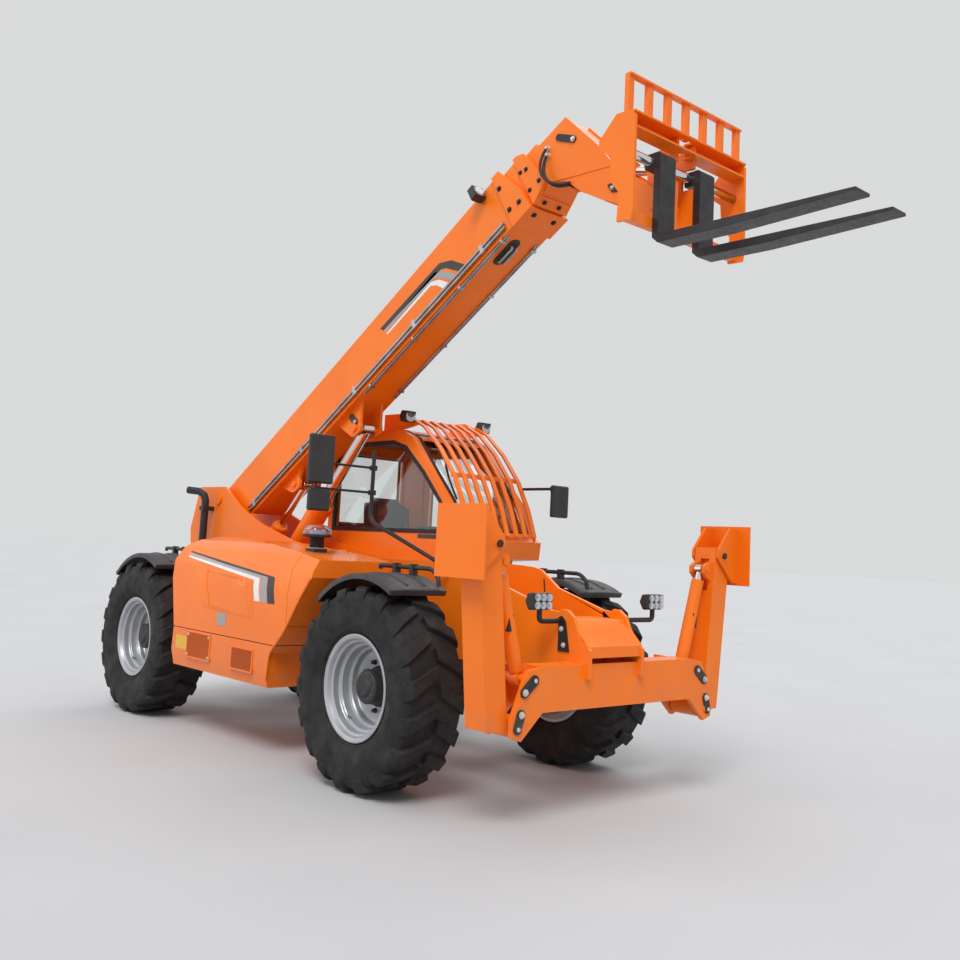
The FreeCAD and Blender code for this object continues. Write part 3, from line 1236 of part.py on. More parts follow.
def build_roof_lamps():
    right = size.cab_right_y + 55 - size.fit
    left = size.cab_left_y - 50 + size.fit
    x = between_axles(-1240)
    z = cab_height(2545)
    lamps = []
    for name, low, high in (("right", right - 100, right), ("left", left, left + 100)):
        case = prism(f"{name}_roof_lamp_case", "Y",
                     ((x - 25, z - 10), (x + 35, z - 10), (x + 50, z + 78), (x - 22, z + 85), (x - 50, z + 35)),
                     low, high)
        lamps.append(case)
    pair = add("Part::Compound", "roof_lamp_pair")
    pair.Links = lamps
    finish("roof_lamps", pair)


def build_mirrors():
    """Right: a bent post on the frame beside the hood. Left: an arm on the guard's outer bar."""
    face = size.boom_y - size.chassis_half_width - size.fit
    right = [box("mirror_foot", (0, 40), (face - 110, face), (1403, 1415))]
    right += path("mirror_post", ((20, -465, 1409), (20, -465, 1440), (-725, -500, 1700), (-725, -500, 2210)), 15)
    for index, level in enumerate((1905, 2085)):
        right.append(rod(f"mirror_arm_{index}", "Y", (-725, -1004, level), 504, 9))
    right.append(rod("mirror_hanger", "Z", (-725, -1000, 1790), 420, 9))
    right.append(box("mirror_large", (-727, -688), (-1070, -862), (1935, 2280)))
    right.append(box("mirror_small", (-727, -688), (-1055, -877), (1745, 1900)))
    edge = size.cab_left_y - 50 + size.fit
    x = between_axles(-710)
    z = cab_height(2030)
    left = [box("left_mirror_arm", (x, x + 380), (edge, edge + 12), (z, z + 22)),
            box("left_mirror_plate", (x + 365, x + 395), (edge, edge + 190), (z - 215, z + 45))]
    pair = add("Part::Compound", "mirror_pair")
    pair.Links = [fuse("mirror_right", right, refine=False), fuse("mirror_left", left)]
    finish("mirrors", pair)


def build_beacon():
    points = ((0, 0), (0, 70), (8, 70), (8, 55), (78, 55), (78, 62), (84, 104), (100, 107), (150, 96), (172, 60),
              (176, 0))
    beacon = turned("beacon_body", points)
    beacon.Placement = FreeCAD.Placement(FreeCAD.Vector(), FreeCAD.Rotation(FreeCAD.Vector(1, 0, 0), 90))
    foot = box("beacon_foot", (-60, 60), (-60, 60), (-45, 4))
    whole = fuse("beacon_whole", [beacon, foot])
    # The pedestal stops at the hood's sloping top.
    place = size.beacon_z
    centre = FreeCAD.Vector(hood_split_x.value - 160, -790, place.value)
    whole.Placement = FreeCAD.Placement(centre, FreeCAD.Rotation())
    ground = prism("beacon_ground", "Y", pod_profile(-size.fit, size.pod_bottom), size.pod_outer_y, size.pod_inner_y)
    finish("beacon", cut("beacon_cut", whole, ground))


def build_exhaust():
    face = size.boom_y - size.chassis_half_width - size.fit
    x = by_rear_axle(-3462)
    start = x.value
    points = ((start, -415, 1240), (start, -415, 1850), (start - 18, -425, 1905), (start - 68, -450, 1935),
              (start - 178, -505, 1945))
    pieces = path("exhaust_pipe", points, 34)
    for index, level in enumerate((1330, 1760)):
        pieces.append(box(f"exhaust_clamp_{index}", (x - 38, x + 38), (-452, face), (level, level + 40)))
    finish("exhaust_stack", fuse("exhaust_solid", pieces, refine=False))


def build_boom_fittings():
    """A work lamp and two steel pipes on the outer section's right side."""
    pivot = (boom_pivot_x, size.boom_y, size.boom_pivot_z)
    side = -size.outer_half_width - size.fit
    clear = side - size.collar_proud
    lamp = [box("work_lamp_case", (3985, 4045), (clear - 100, clear), (10, 100)),
            box("work_lamp_arm", (3960, 3986), (clear - 60, side), (40, 60))]
    finish("boom_lamp", fuse("work_lamp_solid", lamp), pivot, size.boom_angle)
    pipes = []
    for index, level in enumerate((-318, -284)):
        pipes.append(rod(f"boom_pipe_{index}", "X", (330, side - 15, level), 3760, 11))
    for index in range(5):
        start = 420 + 850 * index
        pipes.append(box(f"boom_pipe_clip_{index}", (start, start + 36), (side - 30, side), (-334, -268)))
    finish("boom_pipes", fuse("boom_pipe_solid", pipes), pivot, size.boom_angle)


build_running_gear()
build_chassis()
build_front_beam()
build_boom()
build_cylinders()
build_carriage()
build_forks()
for stabiliser_name, stabiliser_side in SIDES:
    build_stabiliser(stabiliser_name, stabiliser_side)
build_pod()
build_cab()
build_cab_inside()
build_guard()
build_roof_lamps()
build_tank()
build_headlamps()
build_mirrors()
build_beacon()
build_exhaust()
build_boom_fittings()

document.recompute()

# Every object is checked before any file is written.
for item in document.Objects:
    if "Invalid" in item.State or "Error" in item.State:
        raise RuntimeError(f"{item.Name} did not build: {item.State}")
faults = []
for item in finished:
    shape = item.Shape
    if shape.isNull() or not shape.isValid():
        faults.append(item.Label)
if faults:
    raise RuntimeError(f"no valid shape: {faults}")
for item in finished:
    item.Shape.exportStep(f"parts/{item.Label}.step")
    bounds = item.Shape.BoundBox
    print(item.Label, len(item.Shape.Solids), "solids", f"{item.Shape.Volume / 1e9:.4f} m3",
          [round(value) for value in (bounds.XMin, bounds.XMax, bounds.YMin, bounds.YMax, bounds.ZMin, bounds.ZMax)])
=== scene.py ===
import json
import math

import bmesh
import bpy
from mathutils import Matrix, Vector

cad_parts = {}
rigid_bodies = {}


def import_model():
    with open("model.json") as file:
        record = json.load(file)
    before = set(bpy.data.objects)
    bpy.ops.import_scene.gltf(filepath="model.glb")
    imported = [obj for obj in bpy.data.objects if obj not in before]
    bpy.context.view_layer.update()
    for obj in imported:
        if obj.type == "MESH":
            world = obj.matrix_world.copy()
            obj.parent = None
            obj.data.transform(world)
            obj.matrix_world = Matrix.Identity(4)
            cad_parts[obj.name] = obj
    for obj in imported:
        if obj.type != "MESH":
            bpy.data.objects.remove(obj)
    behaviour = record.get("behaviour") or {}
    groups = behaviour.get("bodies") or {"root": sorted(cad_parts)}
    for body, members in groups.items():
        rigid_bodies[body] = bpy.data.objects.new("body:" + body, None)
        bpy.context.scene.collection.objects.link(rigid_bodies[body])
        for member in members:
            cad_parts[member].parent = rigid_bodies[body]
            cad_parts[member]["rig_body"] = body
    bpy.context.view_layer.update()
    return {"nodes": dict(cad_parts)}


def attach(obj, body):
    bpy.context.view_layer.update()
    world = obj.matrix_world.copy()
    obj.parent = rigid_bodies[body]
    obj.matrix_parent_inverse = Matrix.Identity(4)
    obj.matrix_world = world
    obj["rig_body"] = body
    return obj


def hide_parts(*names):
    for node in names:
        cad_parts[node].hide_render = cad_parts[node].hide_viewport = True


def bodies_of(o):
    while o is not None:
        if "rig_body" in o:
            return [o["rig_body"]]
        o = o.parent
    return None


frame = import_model()
nodes = frame["nodes"]

# Millimetres with x = 0 at the front axle, or u along and v across the boom from its pivot
FRONT_AXLE_X = 489
WHEELBASE = 3289
WHEEL_Y = 889
AXLE_Z = 638
BOOM_Y = -90
BOOM_ANGLE = math.radians(31.7)
PIVOT_X = -3330
PIVOT_Z = 1870
FORK_BAR = (1672.2, BOOM_Y, 3832.9)
FORK_BAR_RADIUS = 28
FORK_BAR_REACH = 527
HOSE_RADIUS = 10
HOSE_STEPS = 28
# From the boom's plane out to the frame's plates and to the boom's sections, where details sit on them
FRAME_SIDE = 250.3
OUTER_SIDE = 170
OUTER_COLLAR_SIDE = 184
MIDDLE_COLLAR_SIDE = 162
HEAD_SIDE = 129
HEAD_PIN_U = 5099
HEAD_PIN_V = -1056
# The pod's right side, the stabiliser beam's front and the middle of the seat
POD_FACE = -1100
BEAM_FRONT = 1264
SEAT_MIDDLE = 592.5
SIDES = (("right", -1), ("left", 1))
AXLES = (("front", 0), ("rear", -WHEELBASE))

to_metres = Matrix.Scale(0.001, 4)
machine = Matrix.Translation((FRONT_AXLE_X / 1000, 0, 0)) @ to_metres
boom = (Matrix.Translation(((FRONT_AXLE_X + PIVOT_X) / 1000, BOOM_Y / 1000, PIVOT_Z / 1000))
        @ Matrix.Rotation(-BOOM_ANGLE, 4, "Y") @ to_metres)


def body_of(node):
    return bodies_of(nodes[node])[0]


def in_metres(x, y, z):
    """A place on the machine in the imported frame."""
    return ((x + FRONT_AXLE_X) / 1000, y / 1000, z / 1000)


def span(side, near, far):
    """Two distances from the middle on the right (-1) or the left (1), the lower one first."""
    return sorted((side * near, side * far))


def facing(side, profile):
    """A profile of (along, radius) points turned to the right or the left."""
    return [(side * along, radius) for along, radius in profile]


# Finishes

ROAD_DUST = (0.30, 0.235, 0.175)


def new_finish(name):
    finish = bpy.data.materials.new(name)
    finish.use_nodes = True
    tree = finish.node_tree
    shader = tree.nodes["Principled BSDF"]
    place = tree.nodes.new("ShaderNodeTexCoord")
    return finish, tree, shader, place


def noise(tree, place, scale, detail=3.0, roughness=0.5, stretch=None):
    """Noise over the machine's own coordinates; stretch draws it out along an axis."""
    source = place.outputs["Object"]
    if stretch:
        mapping = tree.nodes.new("ShaderNodeMapping")
        mapping.inputs["Scale"].default_value = stretch
        tree.links.new(source, mapping.inputs["Vector"])
        source = mapping.outputs["Vector"]
    texture = tree.nodes.new("ShaderNodeTexNoise")
    texture.inputs["Scale"].default_value = scale
    texture.inputs["Detail"].default_value = detail
    texture.inputs["Roughness"].default_value = roughness
    tree.links.new(source, texture.inputs["Vector"])
    return texture.outputs["Fac"]


def spread(tree, value, low, high, start=0.35, end=0.65):
    """A noise value spread between two numbers."""
    remap = tree.nodes.new("ShaderNodeMapRange")
    remap.inputs["From Min"].default_value = start
    remap.inputs["From Max"].default_value = end
    remap.inputs["To Min"].default_value = low
    remap.inputs["To Max"].default_value = high
    tree.links.new(value, remap.inputs["Value"])
    return remap.outputs["Result"]


def blend_colours(tree, factor, first, second):
    mix = tree.nodes.new("ShaderNodeMix")
    mix.data_type = "RGBA"
    tree.links.new(factor, mix.inputs["Factor"])
    for socket, colour in ((mix.inputs[6], first), (mix.inputs[7], second)):
        if isinstance(colour, tuple):
            socket.default_value = (*colour, 1)
        else:
            tree.links.new(colour, socket)
    return mix.outputs[2]


def bump(tree, shader, height, strength, distance):
    relief = tree.nodes.new("ShaderNodeBump")
    relief.inputs["Strength"].default_value = strength
    relief.inputs["Distance"].default_value = distance
    tree.links.new(height, relief.inputs["Height"])
    tree.links.new(relief.outputs["Normal"], shader.inputs["Normal"])


def multiplied(tree, first, second):
    """A value multiplied by another one or by a plain number."""
    product = tree.nodes.new("ShaderNodeMath")
    product.operation = "MULTIPLY"
    tree.links.new(first, product.inputs[0])
    if isinstance(second, float):
        product.inputs[1].default_value = second
    else:
        tree.links.new(second, product.inputs[1])
    return product.outputs["Value"]


def low_down(tree, place, floor, ceiling):
    """1 near the ground, 0 above the ceiling, broken up by noise."""
    parts = tree.nodes.new("ShaderNodeSeparateXYZ")
    tree.links.new(place.outputs["Object"], parts.inputs["Vector"])
    height = spread(tree, parts.outputs["Z"], 1.0, 0.0, floor, ceiling)
    patches = spread(tree, noise(tree, place, 9, 5, 0.65), 0.0, 1.0, 0.38, 0.72)
    return multiplied(tree, height, patches)


def sprayed_paint(name, light, dark, roughness=0.34, coat=0.35, dust=0.45):
    """Sprayed topcoat: slight colour drift, orange peel, and road dust low down."""
    finish, tree, shader, place = new_finish(name)
    drift = spread(tree, noise(tree, place, 1.7, 3), 0, 1)
    clean = blend_colours(tree, drift, light, dark)
    film = multiplied(tree, low_down(tree, place, 0.25, 1.05), dust)
    tree.links.new(blend_colours(tree, film, clean, ROAD_DUST), shader.inputs["Base Color"])
    rough = spread(tree, noise(tree, place, 14, 4), roughness - 0.05, roughness + 0.07)
    tree.links.new(rough, shader.inputs["Roughness"])
    shader.inputs["Coat Weight"].default_value = coat
    shader.inputs["Coat Roughness"].default_value = 0.12
    shader.inputs["Specular IOR Level"].default_value = 0.3
    bump(tree, shader, noise(tree, place, 260, 2), 0.04, 0.0004)
    return finish


def moulded_plastic(name, light, dark, roughness=0.55, grain=1400):
    finish, tree, shader, place = new_finish(name)
    drift = spread(tree, noise(tree, place, 6, 4), 0, 1)
    tree.links.new(blend_colours(tree, drift, light, dark), shader.inputs["Base Color"])
    rough = spread(tree, noise(tree, place, 22, 3), roughness - 0.08, roughness + 0.08)
    tree.links.new(rough, shader.inputs["Roughness"])
    bump(tree, shader, noise(tree, place, grain, 1), 0.35, 0.0004)
    return finish


def tyre_rubber(name):
    """Black rubber with dry dust in patches and fine mould grain."""
    finish, tree, shader, place = new_finish(name)
    patches = spread(tree, noise(tree, place, 7, 6, 0.62), 0, 0.75, 0.42, 0.74)
    tree.links.new(blend_colours(tree, patches, (0.014, 0.013, 0.014), (0.040, 0.037, 0.034)),
                   shader.inputs["Base Color"])
    rough = spread(tree, noise(tree, place, 12, 3), 0.58, 0.82)
    tree.links.new(rough, shader.inputs["Roughness"])
    shader.inputs["Specular IOR Level"].default_value = 0.3
    bump(tree, shader, noise(tree, place, 420, 3, 0.7), 0.25, 0.0010)
    return finish


def metal(name, light, dark, roughness, metallic=1.0, fine=600, stretch=None, strength=0.12):
    finish, tree, shader, place = new_finish(name)
    drift = spread(tree, noise(tree, place, 8, 4), 0, 1)
    tree.links.new(blend_colours(tree, drift, light, dark), shader.inputs["Base Color"])
    rough = spread(tree, noise(tree, place, 40, 4, stretch=stretch), roughness - 0.03, roughness + 0.10)
    tree.links.new(rough, shader.inputs["Roughness"])
    shader.inputs["Metallic"].default_value = metallic
    bump(tree, shader, noise(tree, place, fine, 2, stretch=stretch), strength, 0.0004)
    return finish


def clear_glass(name, tint, roughness=0.01):
    """Glass with a faint film that changes its roughness from place to place."""
    finish, tree, shader, place = new_finish(name)
    film = spread(tree, noise(tree, place, 3, 5), 0, 1)
    dim = tuple(value * 0.93 for value in tint)
    tree.links.new(blend_colours(tree, film, tint, dim), shader.inputs["Base Color"])
    rough = spread(tree, noise(tree, place, 5, 4), roughness, roughness + 0.03)
    tree.links.new(rough, shader.inputs["Roughness"])
    shader.inputs["Transmission Weight"].default_value = 1.0
    shader.inputs["IOR"].default_value = 1.45
    return finish


def woven_cloth(name, light, dark):
    finish, tree, shader, place = new_finish(name)
    weave = noise(tree, place, 900, 2)
    tree.links.new(blend_colours(tree, spread(tree, weave, 0, 1), light, dark), shader.inputs["Base Color"])
    shader.inputs["Roughness"].default_value = 0.86
    shader.inputs["Sheen Weight"].default_value = 0.2
    bump(tree, shader, weave, 0.4, 0.0008)
    return finish


orange = sprayed_paint("orange_paint", (0.98, 0.205, 0.006), (0.93, 0.180, 0.005), 0.36, 0.12)
hood_orange = sprayed_paint("hood_orange", (0.95, 0.200, 0.010), (0.91, 0.182, 0.008), 0.30, 0.22, 0.3)
black_paint = sprayed_paint("black_paint", (0.016, 0.016, 0.018), (0.024, 0.023, 0.024), 0.42, 0.15)
cast_black = metal("cast_black", (0.020, 0.020, 0.021), (0.035, 0.034, 0.034), 0.55, 0.0, 260, strength=0.3)
rubber = tyre_rubber("tyre_rubber")
rim_silver = metal("rim_silver", (0.47, 0.48, 0.50), (0.40, 0.41, 0.43), 0.36, 0.55, 500, strength=0.06)
chrome = metal("rod_chrome", (0.78, 0.79, 0.80), (0.70, 0.71, 0.73), 0.08, fine=900,
               stretch=(1, 8, 1), strength=0.03)
bare_steel = metal("bare_steel", (0.52, 0.52, 0.53), (0.36, 0.35, 0.35), 0.30, fine=700)
worn_steel = metal("fork_steel", (0.040, 0.040, 0.043), (0.026, 0.025, 0.028), 0.40, 0.4, 300)
guard_plastic = moulded_plastic("guard_plastic", (0.050, 0.048, 0.052), (0.036, 0.035, 0.038), 0.56)
black_plastic = moulded_plastic("black_plastic", (0.018, 0.018, 0.020), (0.028, 0.028, 0.030), 0.42)
seal_rubber = moulded_plastic("seal_rubber", (0.012, 0.012, 0.013), (0.018, 0.018, 0.019), 0.6, 700)
cab_lining = moulded_plastic("cab_lining", (0.085, 0.078, 0.075), (0.060, 0.055, 0.053), 0.75, 900)
glass = clear_glass("cab_glass", (0.93, 0.97, 0.96))
lens_glass = clear_glass("lens_glass", (0.97, 0.98, 1.0))
beacon_glass = clear_glass("beacon_glass", (0.86, 0.90, 0.97), 0.02)
mirror_glass = metal("mirror_glass", (0.80, 0.83, 0.85), (0.74, 0.77, 0.80), 0.03, fine=900, strength=0.0)
seat_cloth = woven_cloth("seat_cloth", (0.055, 0.055, 0.060), (0.030, 0.030, 0.034))
white_film = sprayed_paint("white_film", (0.86, 0.85, 0.83), (0.80, 0.79, 0.77), 0.35, 0.2, 0.1)
silver_film = sprayed_paint("silver_film", (0.40, 0.39, 0.39), (0.34, 0.33, 0.33), 0.35, 0.2, 0.1)
yellow_film = sprayed_paint("yellow_film", (0.78, 0.47, 0.05), (0.72, 0.42, 0.04), 0.40, 0.1, 0.1)
dark_film = sprayed_paint("dark_film", (0.034, 0.030, 0.033), (0.026, 0.024, 0.026), 0.36, 0.25, 0.1)
bolt_white = metal("bolt_white", (0.74, 0.73, 0.70), (0.58, 0.57, 0.55), 0.35, 0.5, 500)
beacon_core = moulded_plastic("beacon_core", (0.50, 0.58, 0.80), (0.75, 0.78, 0.86), 0.3)
lamp_white = moulded_plastic("lamp_white", (0.82, 0.82, 0.80), (0.74, 0.74, 0.72), 0.3)
mesh_orange = sprayed_paint("mesh_orange", (0.85, 0.150, 0.010), (0.74, 0.120, 0.008), 0.5, 0.1)


# Making pieces

def settle(name, mesh, body, slot, *replaced):
    """A finished piece at the origin, riding on its body."""
    piece = bpy.data.objects.new(name, mesh)
    bpy.context.scene.collection.objects.link(piece)
    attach(piece, body)
    if replaced:
        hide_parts(*replaced)
    return piece


def carried(mesh):
    """An object that holds a mesh while a modifier works on it."""
    carrier = bpy.data.objects.new("carrier", mesh)
    bpy.context.scene.collection.objects.link(carrier)
    return carrier


def plain_mesh(carrier):
    """The mesh that a carrier's modifier gives; the carrier goes."""
    evaluated = carrier.evaluated_get(bpy.context.evaluated_depsgraph_get())
    result = bpy.data.meshes.new_from_object(evaluated)
    bpy.data.objects.remove(carrier)
    return result


def broken_edges(mesh, width, segments=2, angle=30):
    """Smooth shading with every sharp edge rounded by width millimetres."""
    mesh.polygons.foreach_set("use_smooth", [True] * len(mesh.polygons))
    if not width:
        mesh.set_sharp_from_angle(angle=math.radians(angle + 5))
        return mesh
    carrier = carried(mesh)
    bevel = carrier.modifiers.new("broken edges", "BEVEL")
    bevel.width = width / 1000
    bevel.segments = segments
    bevel.limit_method = "ANGLE"
    bevel.angle_limit = math.radians(angle)
    bevel.harden_normals = True
    return plain_mesh(carrier)


def skin(node, finish, slot, bevel=3.0):
    """A CAD node's own shape, its edges broken, in its finish."""
    source = nodes[node].data
    work = bmesh.new()
    corners = [work.verts.new(vertex.co) for vertex in source.vertices]
    for polygon in source.polygons:
        try:
            work.faces.new([corners[index] for index in polygon.vertices])
        except ValueError:
            continue
    bmesh.ops.remove_doubles(work, verts=work.verts, dist=1e-5)
    bmesh.ops.dissolve_limit(work, angle_limit=math.radians(0.5), verts=work.verts, edges=work.edges)
    mesh = bpy.data.meshes.new(node)
    work.to_mesh(mesh)
    work.free()
    mesh = broken_edges(mesh, bevel)
    mesh.materials.clear()
    mesh.materials.append(finish)
    settle(f"{node}_dressed", mesh, body_of(node), slot, node)


def on_axis(axis):
    """How a point of an outline and its place along the axis make a point in space."""
    return {
        "X": lambda a, b, c: (c, a, b),
        "Y": lambda a, b, c: (a, c, b),
        "Z": lambda a, b, c: (a, b, c),
    }[axis]


class Shape:
    """Faces of one piece, drawn in millimetres in the machine's or the boom's own frame."""

    def __init__(self, place=machine):
        self.place = place
        self.faces = bmesh.new()
        self.finishes = []
        self.index = 0

    def use(self, finish):
        if finish not in self.finishes:
            self.finishes.append(finish)
        self.index = self.finishes.index(finish)
        return self

    def close(self, points, loops):
        corners = [self.faces.verts.new(point) for point in points]
        for loop in loops:
            face = self.faces.faces.new([corners[index] for index in loop])
            face.material_index = self.index

    def prism(self, axis, outline, low, high):
        """An outline pushed along X, Y or Z between two values."""
        place = on_axis(axis)
        count = len(outline)
        points = [place(a, b, c) for c in (low, high) for a, b in outline]
        loops = [tuple(range(count)), tuple(range(2 * count - 1, count - 1, -1))]
        for index in range(count):
            after = (index + 1) % count
            loops.append((index, index + count, after + count, after))
        self.close(points, loops)
        return self

    def block(self, x, y, z):
        return self.prism("Z", ((x[0], y[0]), (x[1], y[0]), (x[1], y[1]), (x[0], y[1])), z[0], z[1])

    def turned(self, centre, axis, profile, steps=48, start=0.0, sweep=2 * math.pi, closed=False):
        """A profile of (along, radius) points turned about an axis through a centre."""
        whole = abs(sweep - 2 * math.pi) < 1e-6
        rings = steps if whole else steps + 1
        points = []
        for step in range(rings):
            angle = start + sweep * step / steps
            sine = math.sin(angle)
            cosine = math.cos(angle)
            for along, radius in profile:
                offset = {
                    "X": (along, radius * sine, radius * cosine),
                    "Y": (radius * sine, along, radius * cosine),
                    "Z": (radius * sine, radius * cosine, along),
                }[axis]
                points.append(tuple(c + o for c, o in zip(centre, offset)))
        count = len(profile)
        loops = []
        for step in range(steps):
            now = step * count
            then = ((step + 1) % rings) * count
            for index in range(count if closed else count - 1):
                after = (index + 1) % count
                loops.append((now + index, now + after, then + after, then + index))
        if closed and not whole:
            loops.append(tuple(range(count)))
            loops.append(tuple(steps * count + index for index in range(count - 1, -1, -1)))
        self.close(points, loops)
        return self

    def disc(self, centre, axis, radius, low, high, steps=24, rim=2.0):
        """A round plate or bar with a small chamfer at each end."""
        profile = ((low, 0.01), (low, radius - rim), (low + rim, radius), (high - rim, radius),
                   (high, radius - rim), (high, 0.01))
        return self.turned(centre, axis, profile, steps)

    def ring(self, axis, inner, outer, low, high):
        """A flat frame between two outlines with as many corners, pushed along an axis."""
        place = on_axis(axis)
        count = len(inner)
        points = [place(a, b, c) for c in (low, high) for line in (inner, outer) for a, b in line]
        loops = []
        for index in range(count):
            after = (index + 1) % count
            for first, second in ((0, 1), (1, 3), (3, 2), (2, 0)):
                loops.append((first * count + index, first * count + after,
                              second * count + after, second * count + index))
        self.close(points, loops)
        return self

    def capsule(self, axis, first, second, radius, low, high):
        """A flat bar with round ends between two centres."""
        lean = math.atan2(second[1] - first[1], second[0] - first[0])
        outline = []
        for centre, start in ((second, -math.pi / 2), (first, math.pi / 2)):
            for step in range(9):
                angle = lean + start + math.pi * step / 8
                outline.append((centre[0] + radius * math.cos(angle), centre[1] + radius * math.sin(angle)))
        return self.prism(axis, outline, low, high)

    def tube(self, points, radius, bend=0.0, sides=12):
        """A round bar from point to point; bend rounds its corners."""
        line = rounded_line([Vector(point) for point in points], bend)
        rings = []
        side = None
        for index, here in enumerate(line):
            ahead = line[min(index + 1, len(line) - 1)] - line[max(index - 1, 0)]
            ahead.normalize()
            if side is None:
                side = ahead.orthogonal().normalized()
            side = (side - ahead * side.dot(ahead)).normalized()
            up = ahead.cross(side)
            rings.append([here + (side * math.cos(turn) + up * math.sin(turn)) * radius
                          for turn in (2 * math.pi * step / sides for step in range(sides))])
        points = [tuple(point) for ring in rings for point in ring]
        loops = [tuple(range(sides - 1, -1, -1)),
                 tuple((len(rings) - 1) * sides + step for step in range(sides))]
        for row in range(len(rings) - 1):
            for step in range(sides):
                after = (step + 1) % sides
                loops.append((row * sides + step, row * sides + after,
                              (row + 1) * sides + after, (row + 1) * sides + step))
        self.close(points, loops)
        return self

    def mesh(self, name, bevel=0.0, segments=2, angle=30):
        work = self.faces
        bmesh.ops.transform(work, matrix=self.place, verts=work.verts)
        bmesh.ops.remove_doubles(work, verts=work.verts, dist=1e-5)
        bmesh.ops.recalc_face_normals(work, faces=work.faces)
        result = bpy.data.meshes.new(name)
        work.to_mesh(result)
        work.free()
        for finish in self.finishes:
            result.materials.append(finish)
        return broken_edges(result, bevel, segments, angle)

    def done(self, name, body, slot, *replaced, bevel=0.0, segments=2, angle=30):
        return settle(name, self.mesh(name, bevel, segments, angle), body, slot, *replaced)


def rounded_line(points, bend):
    """A route with each corner replaced by an arc of the bend's radius."""
    if not bend:
        return points
    line = [points[0]]
    for before, corner, after in zip(points, points[1:], points[2:]):
        back = before - corner
        ahead = after - corner
        cut = min(bend, back.length * 0.45, ahead.length * 0.45)
        first = corner + back.normalized() * cut
        last = corner + ahead.normalized() * cut
        for step in range(7):
            part = step / 6
            line.append(first.lerp(corner, part).lerp(corner.lerp(last, part), part))
    line.append(points[-1])
    return line


def repeat_tree(name, around):
    """Copies of a shape: turned about the wheel's axis, or set out in rows and columns."""
    tree = bpy.data.node_groups.new(name, "GeometryNodeTree")
    sockets = [("Geometry", "Geometry"), ("Count", "Int"), ("Finish", "Material")]
    if around:
        sockets += [("Centre", "Vector"), ("Turn", "Vector"), ("Start", "Vector")]
    else:
        sockets += [("Columns", "Int"), ("Column step", "Vector"), ("Row step", "Vector")]
    tree.interface.new_socket("Geometry", in_out="OUTPUT", socket_type="NodeSocketGeometry")
    for label, kind in sockets:
        tree.interface.new_socket(label, in_out="INPUT", socket_type=f"NodeSocket{kind}")
    make = tree.nodes.new
    link = tree.links.new

    def working(kind, operation):
        step = make(kind)
        step.operation = operation
        return step

    given = make("NodeGroupInput")
    result = make("NodeGroupOutput")
    line = make("GeometryNodeMeshLine")
    index = make("GeometryNodeInputIndex")
    instance = make("GeometryNodeInstanceOnPoints")
    realise = make("GeometryNodeRealizeInstances")
    dress = make("GeometryNodeSetMaterial")
    line.inputs["Offset"].default_value = (0, 0, 0)
    link(given.outputs["Count"], line.inputs["Count"])
    if around:
        turn = working("ShaderNodeVectorMath", "SCALE")
        link(given.outputs["Turn"], turn.inputs[0])
        link(index.outputs["Index"], turn.inputs["Scale"])
        sum_up = working("ShaderNodeVectorMath", "ADD")
        link(turn.outputs["Vector"], sum_up.inputs[0])
        link(given.outputs["Start"], sum_up.inputs[1])
        link(given.outputs["Centre"], line.inputs["Start Location"])
        link(line.outputs["Mesh"], instance.inputs["Points"])
        link(sum_up.outputs["Vector"], instance.inputs["Rotation"])
    else:
        column = working("ShaderNodeMath", "MODULO")
        row = working("ShaderNodeMath", "DIVIDE")
        whole = working("ShaderNodeMath", "FLOOR")
        for node in (column, row):
            link(index.outputs["Index"], node.inputs[0])
            link(given.outputs["Columns"], node.inputs[1])
        link(row.outputs["Value"], whole.inputs[0])
        moves = []
        for step, amount in (("Column step", column), ("Row step", whole)):
            move = working("ShaderNodeVectorMath", "SCALE")
            link(given.outputs[step], move.inputs[0])
            link(amount.outputs["Value"], move.inputs["Scale"])
            moves.append(move)
        sum_up = working("ShaderNodeVectorMath", "ADD")
        link(moves[0].outputs["Vector"], sum_up.inputs[0])
        link(moves[1].outputs["Vector"], sum_up.inputs[1])
        shift = make("GeometryNodeSetPosition")
        link(line.outputs["Mesh"], shift.inputs["Geometry"])
        link(sum_up.outputs["Vector"], shift.inputs["Offset"])
        link(shift.outputs["Geometry"], instance.inputs["Points"])
    link(given.outputs["Geometry"], instance.inputs["Instance"])
    link(instance.outputs["Instances"], realise.inputs["Geometry"])
    link(realise.outputs["Geometry"], dress.inputs["Geometry"])
    link(given.outputs["Finish"], dress.inputs["Material"])
    link(dress.outputs["Geometry"], result.inputs["Geometry"])
    return tree


around_axis = repeat_tree("set_around_an_axis", True)
in_rows = repeat_tree("set_in_rows", False)


def repeated(tree, mesh, finish, **values):
    """A mesh of the copies that a tree makes of one shape."""
    carrier = carried(mesh)
    step = carrier.modifiers.new("repeat", "NODES")
    step.node_group = tree
    values = {key.replace("_", " "): value for key, value in values.items()}
    values["Finish"] = finish
    for item in tree.interface.items_tree:
        if item.in_out == "INPUT" and item.name in values:
            step[item.identifier] = values[item.name]
    carrier.update_tag()
    return plain_mesh(carrier)


# Wheels

LUGS_IN_A_ROW = 18
TREAD_RADIUS = 620


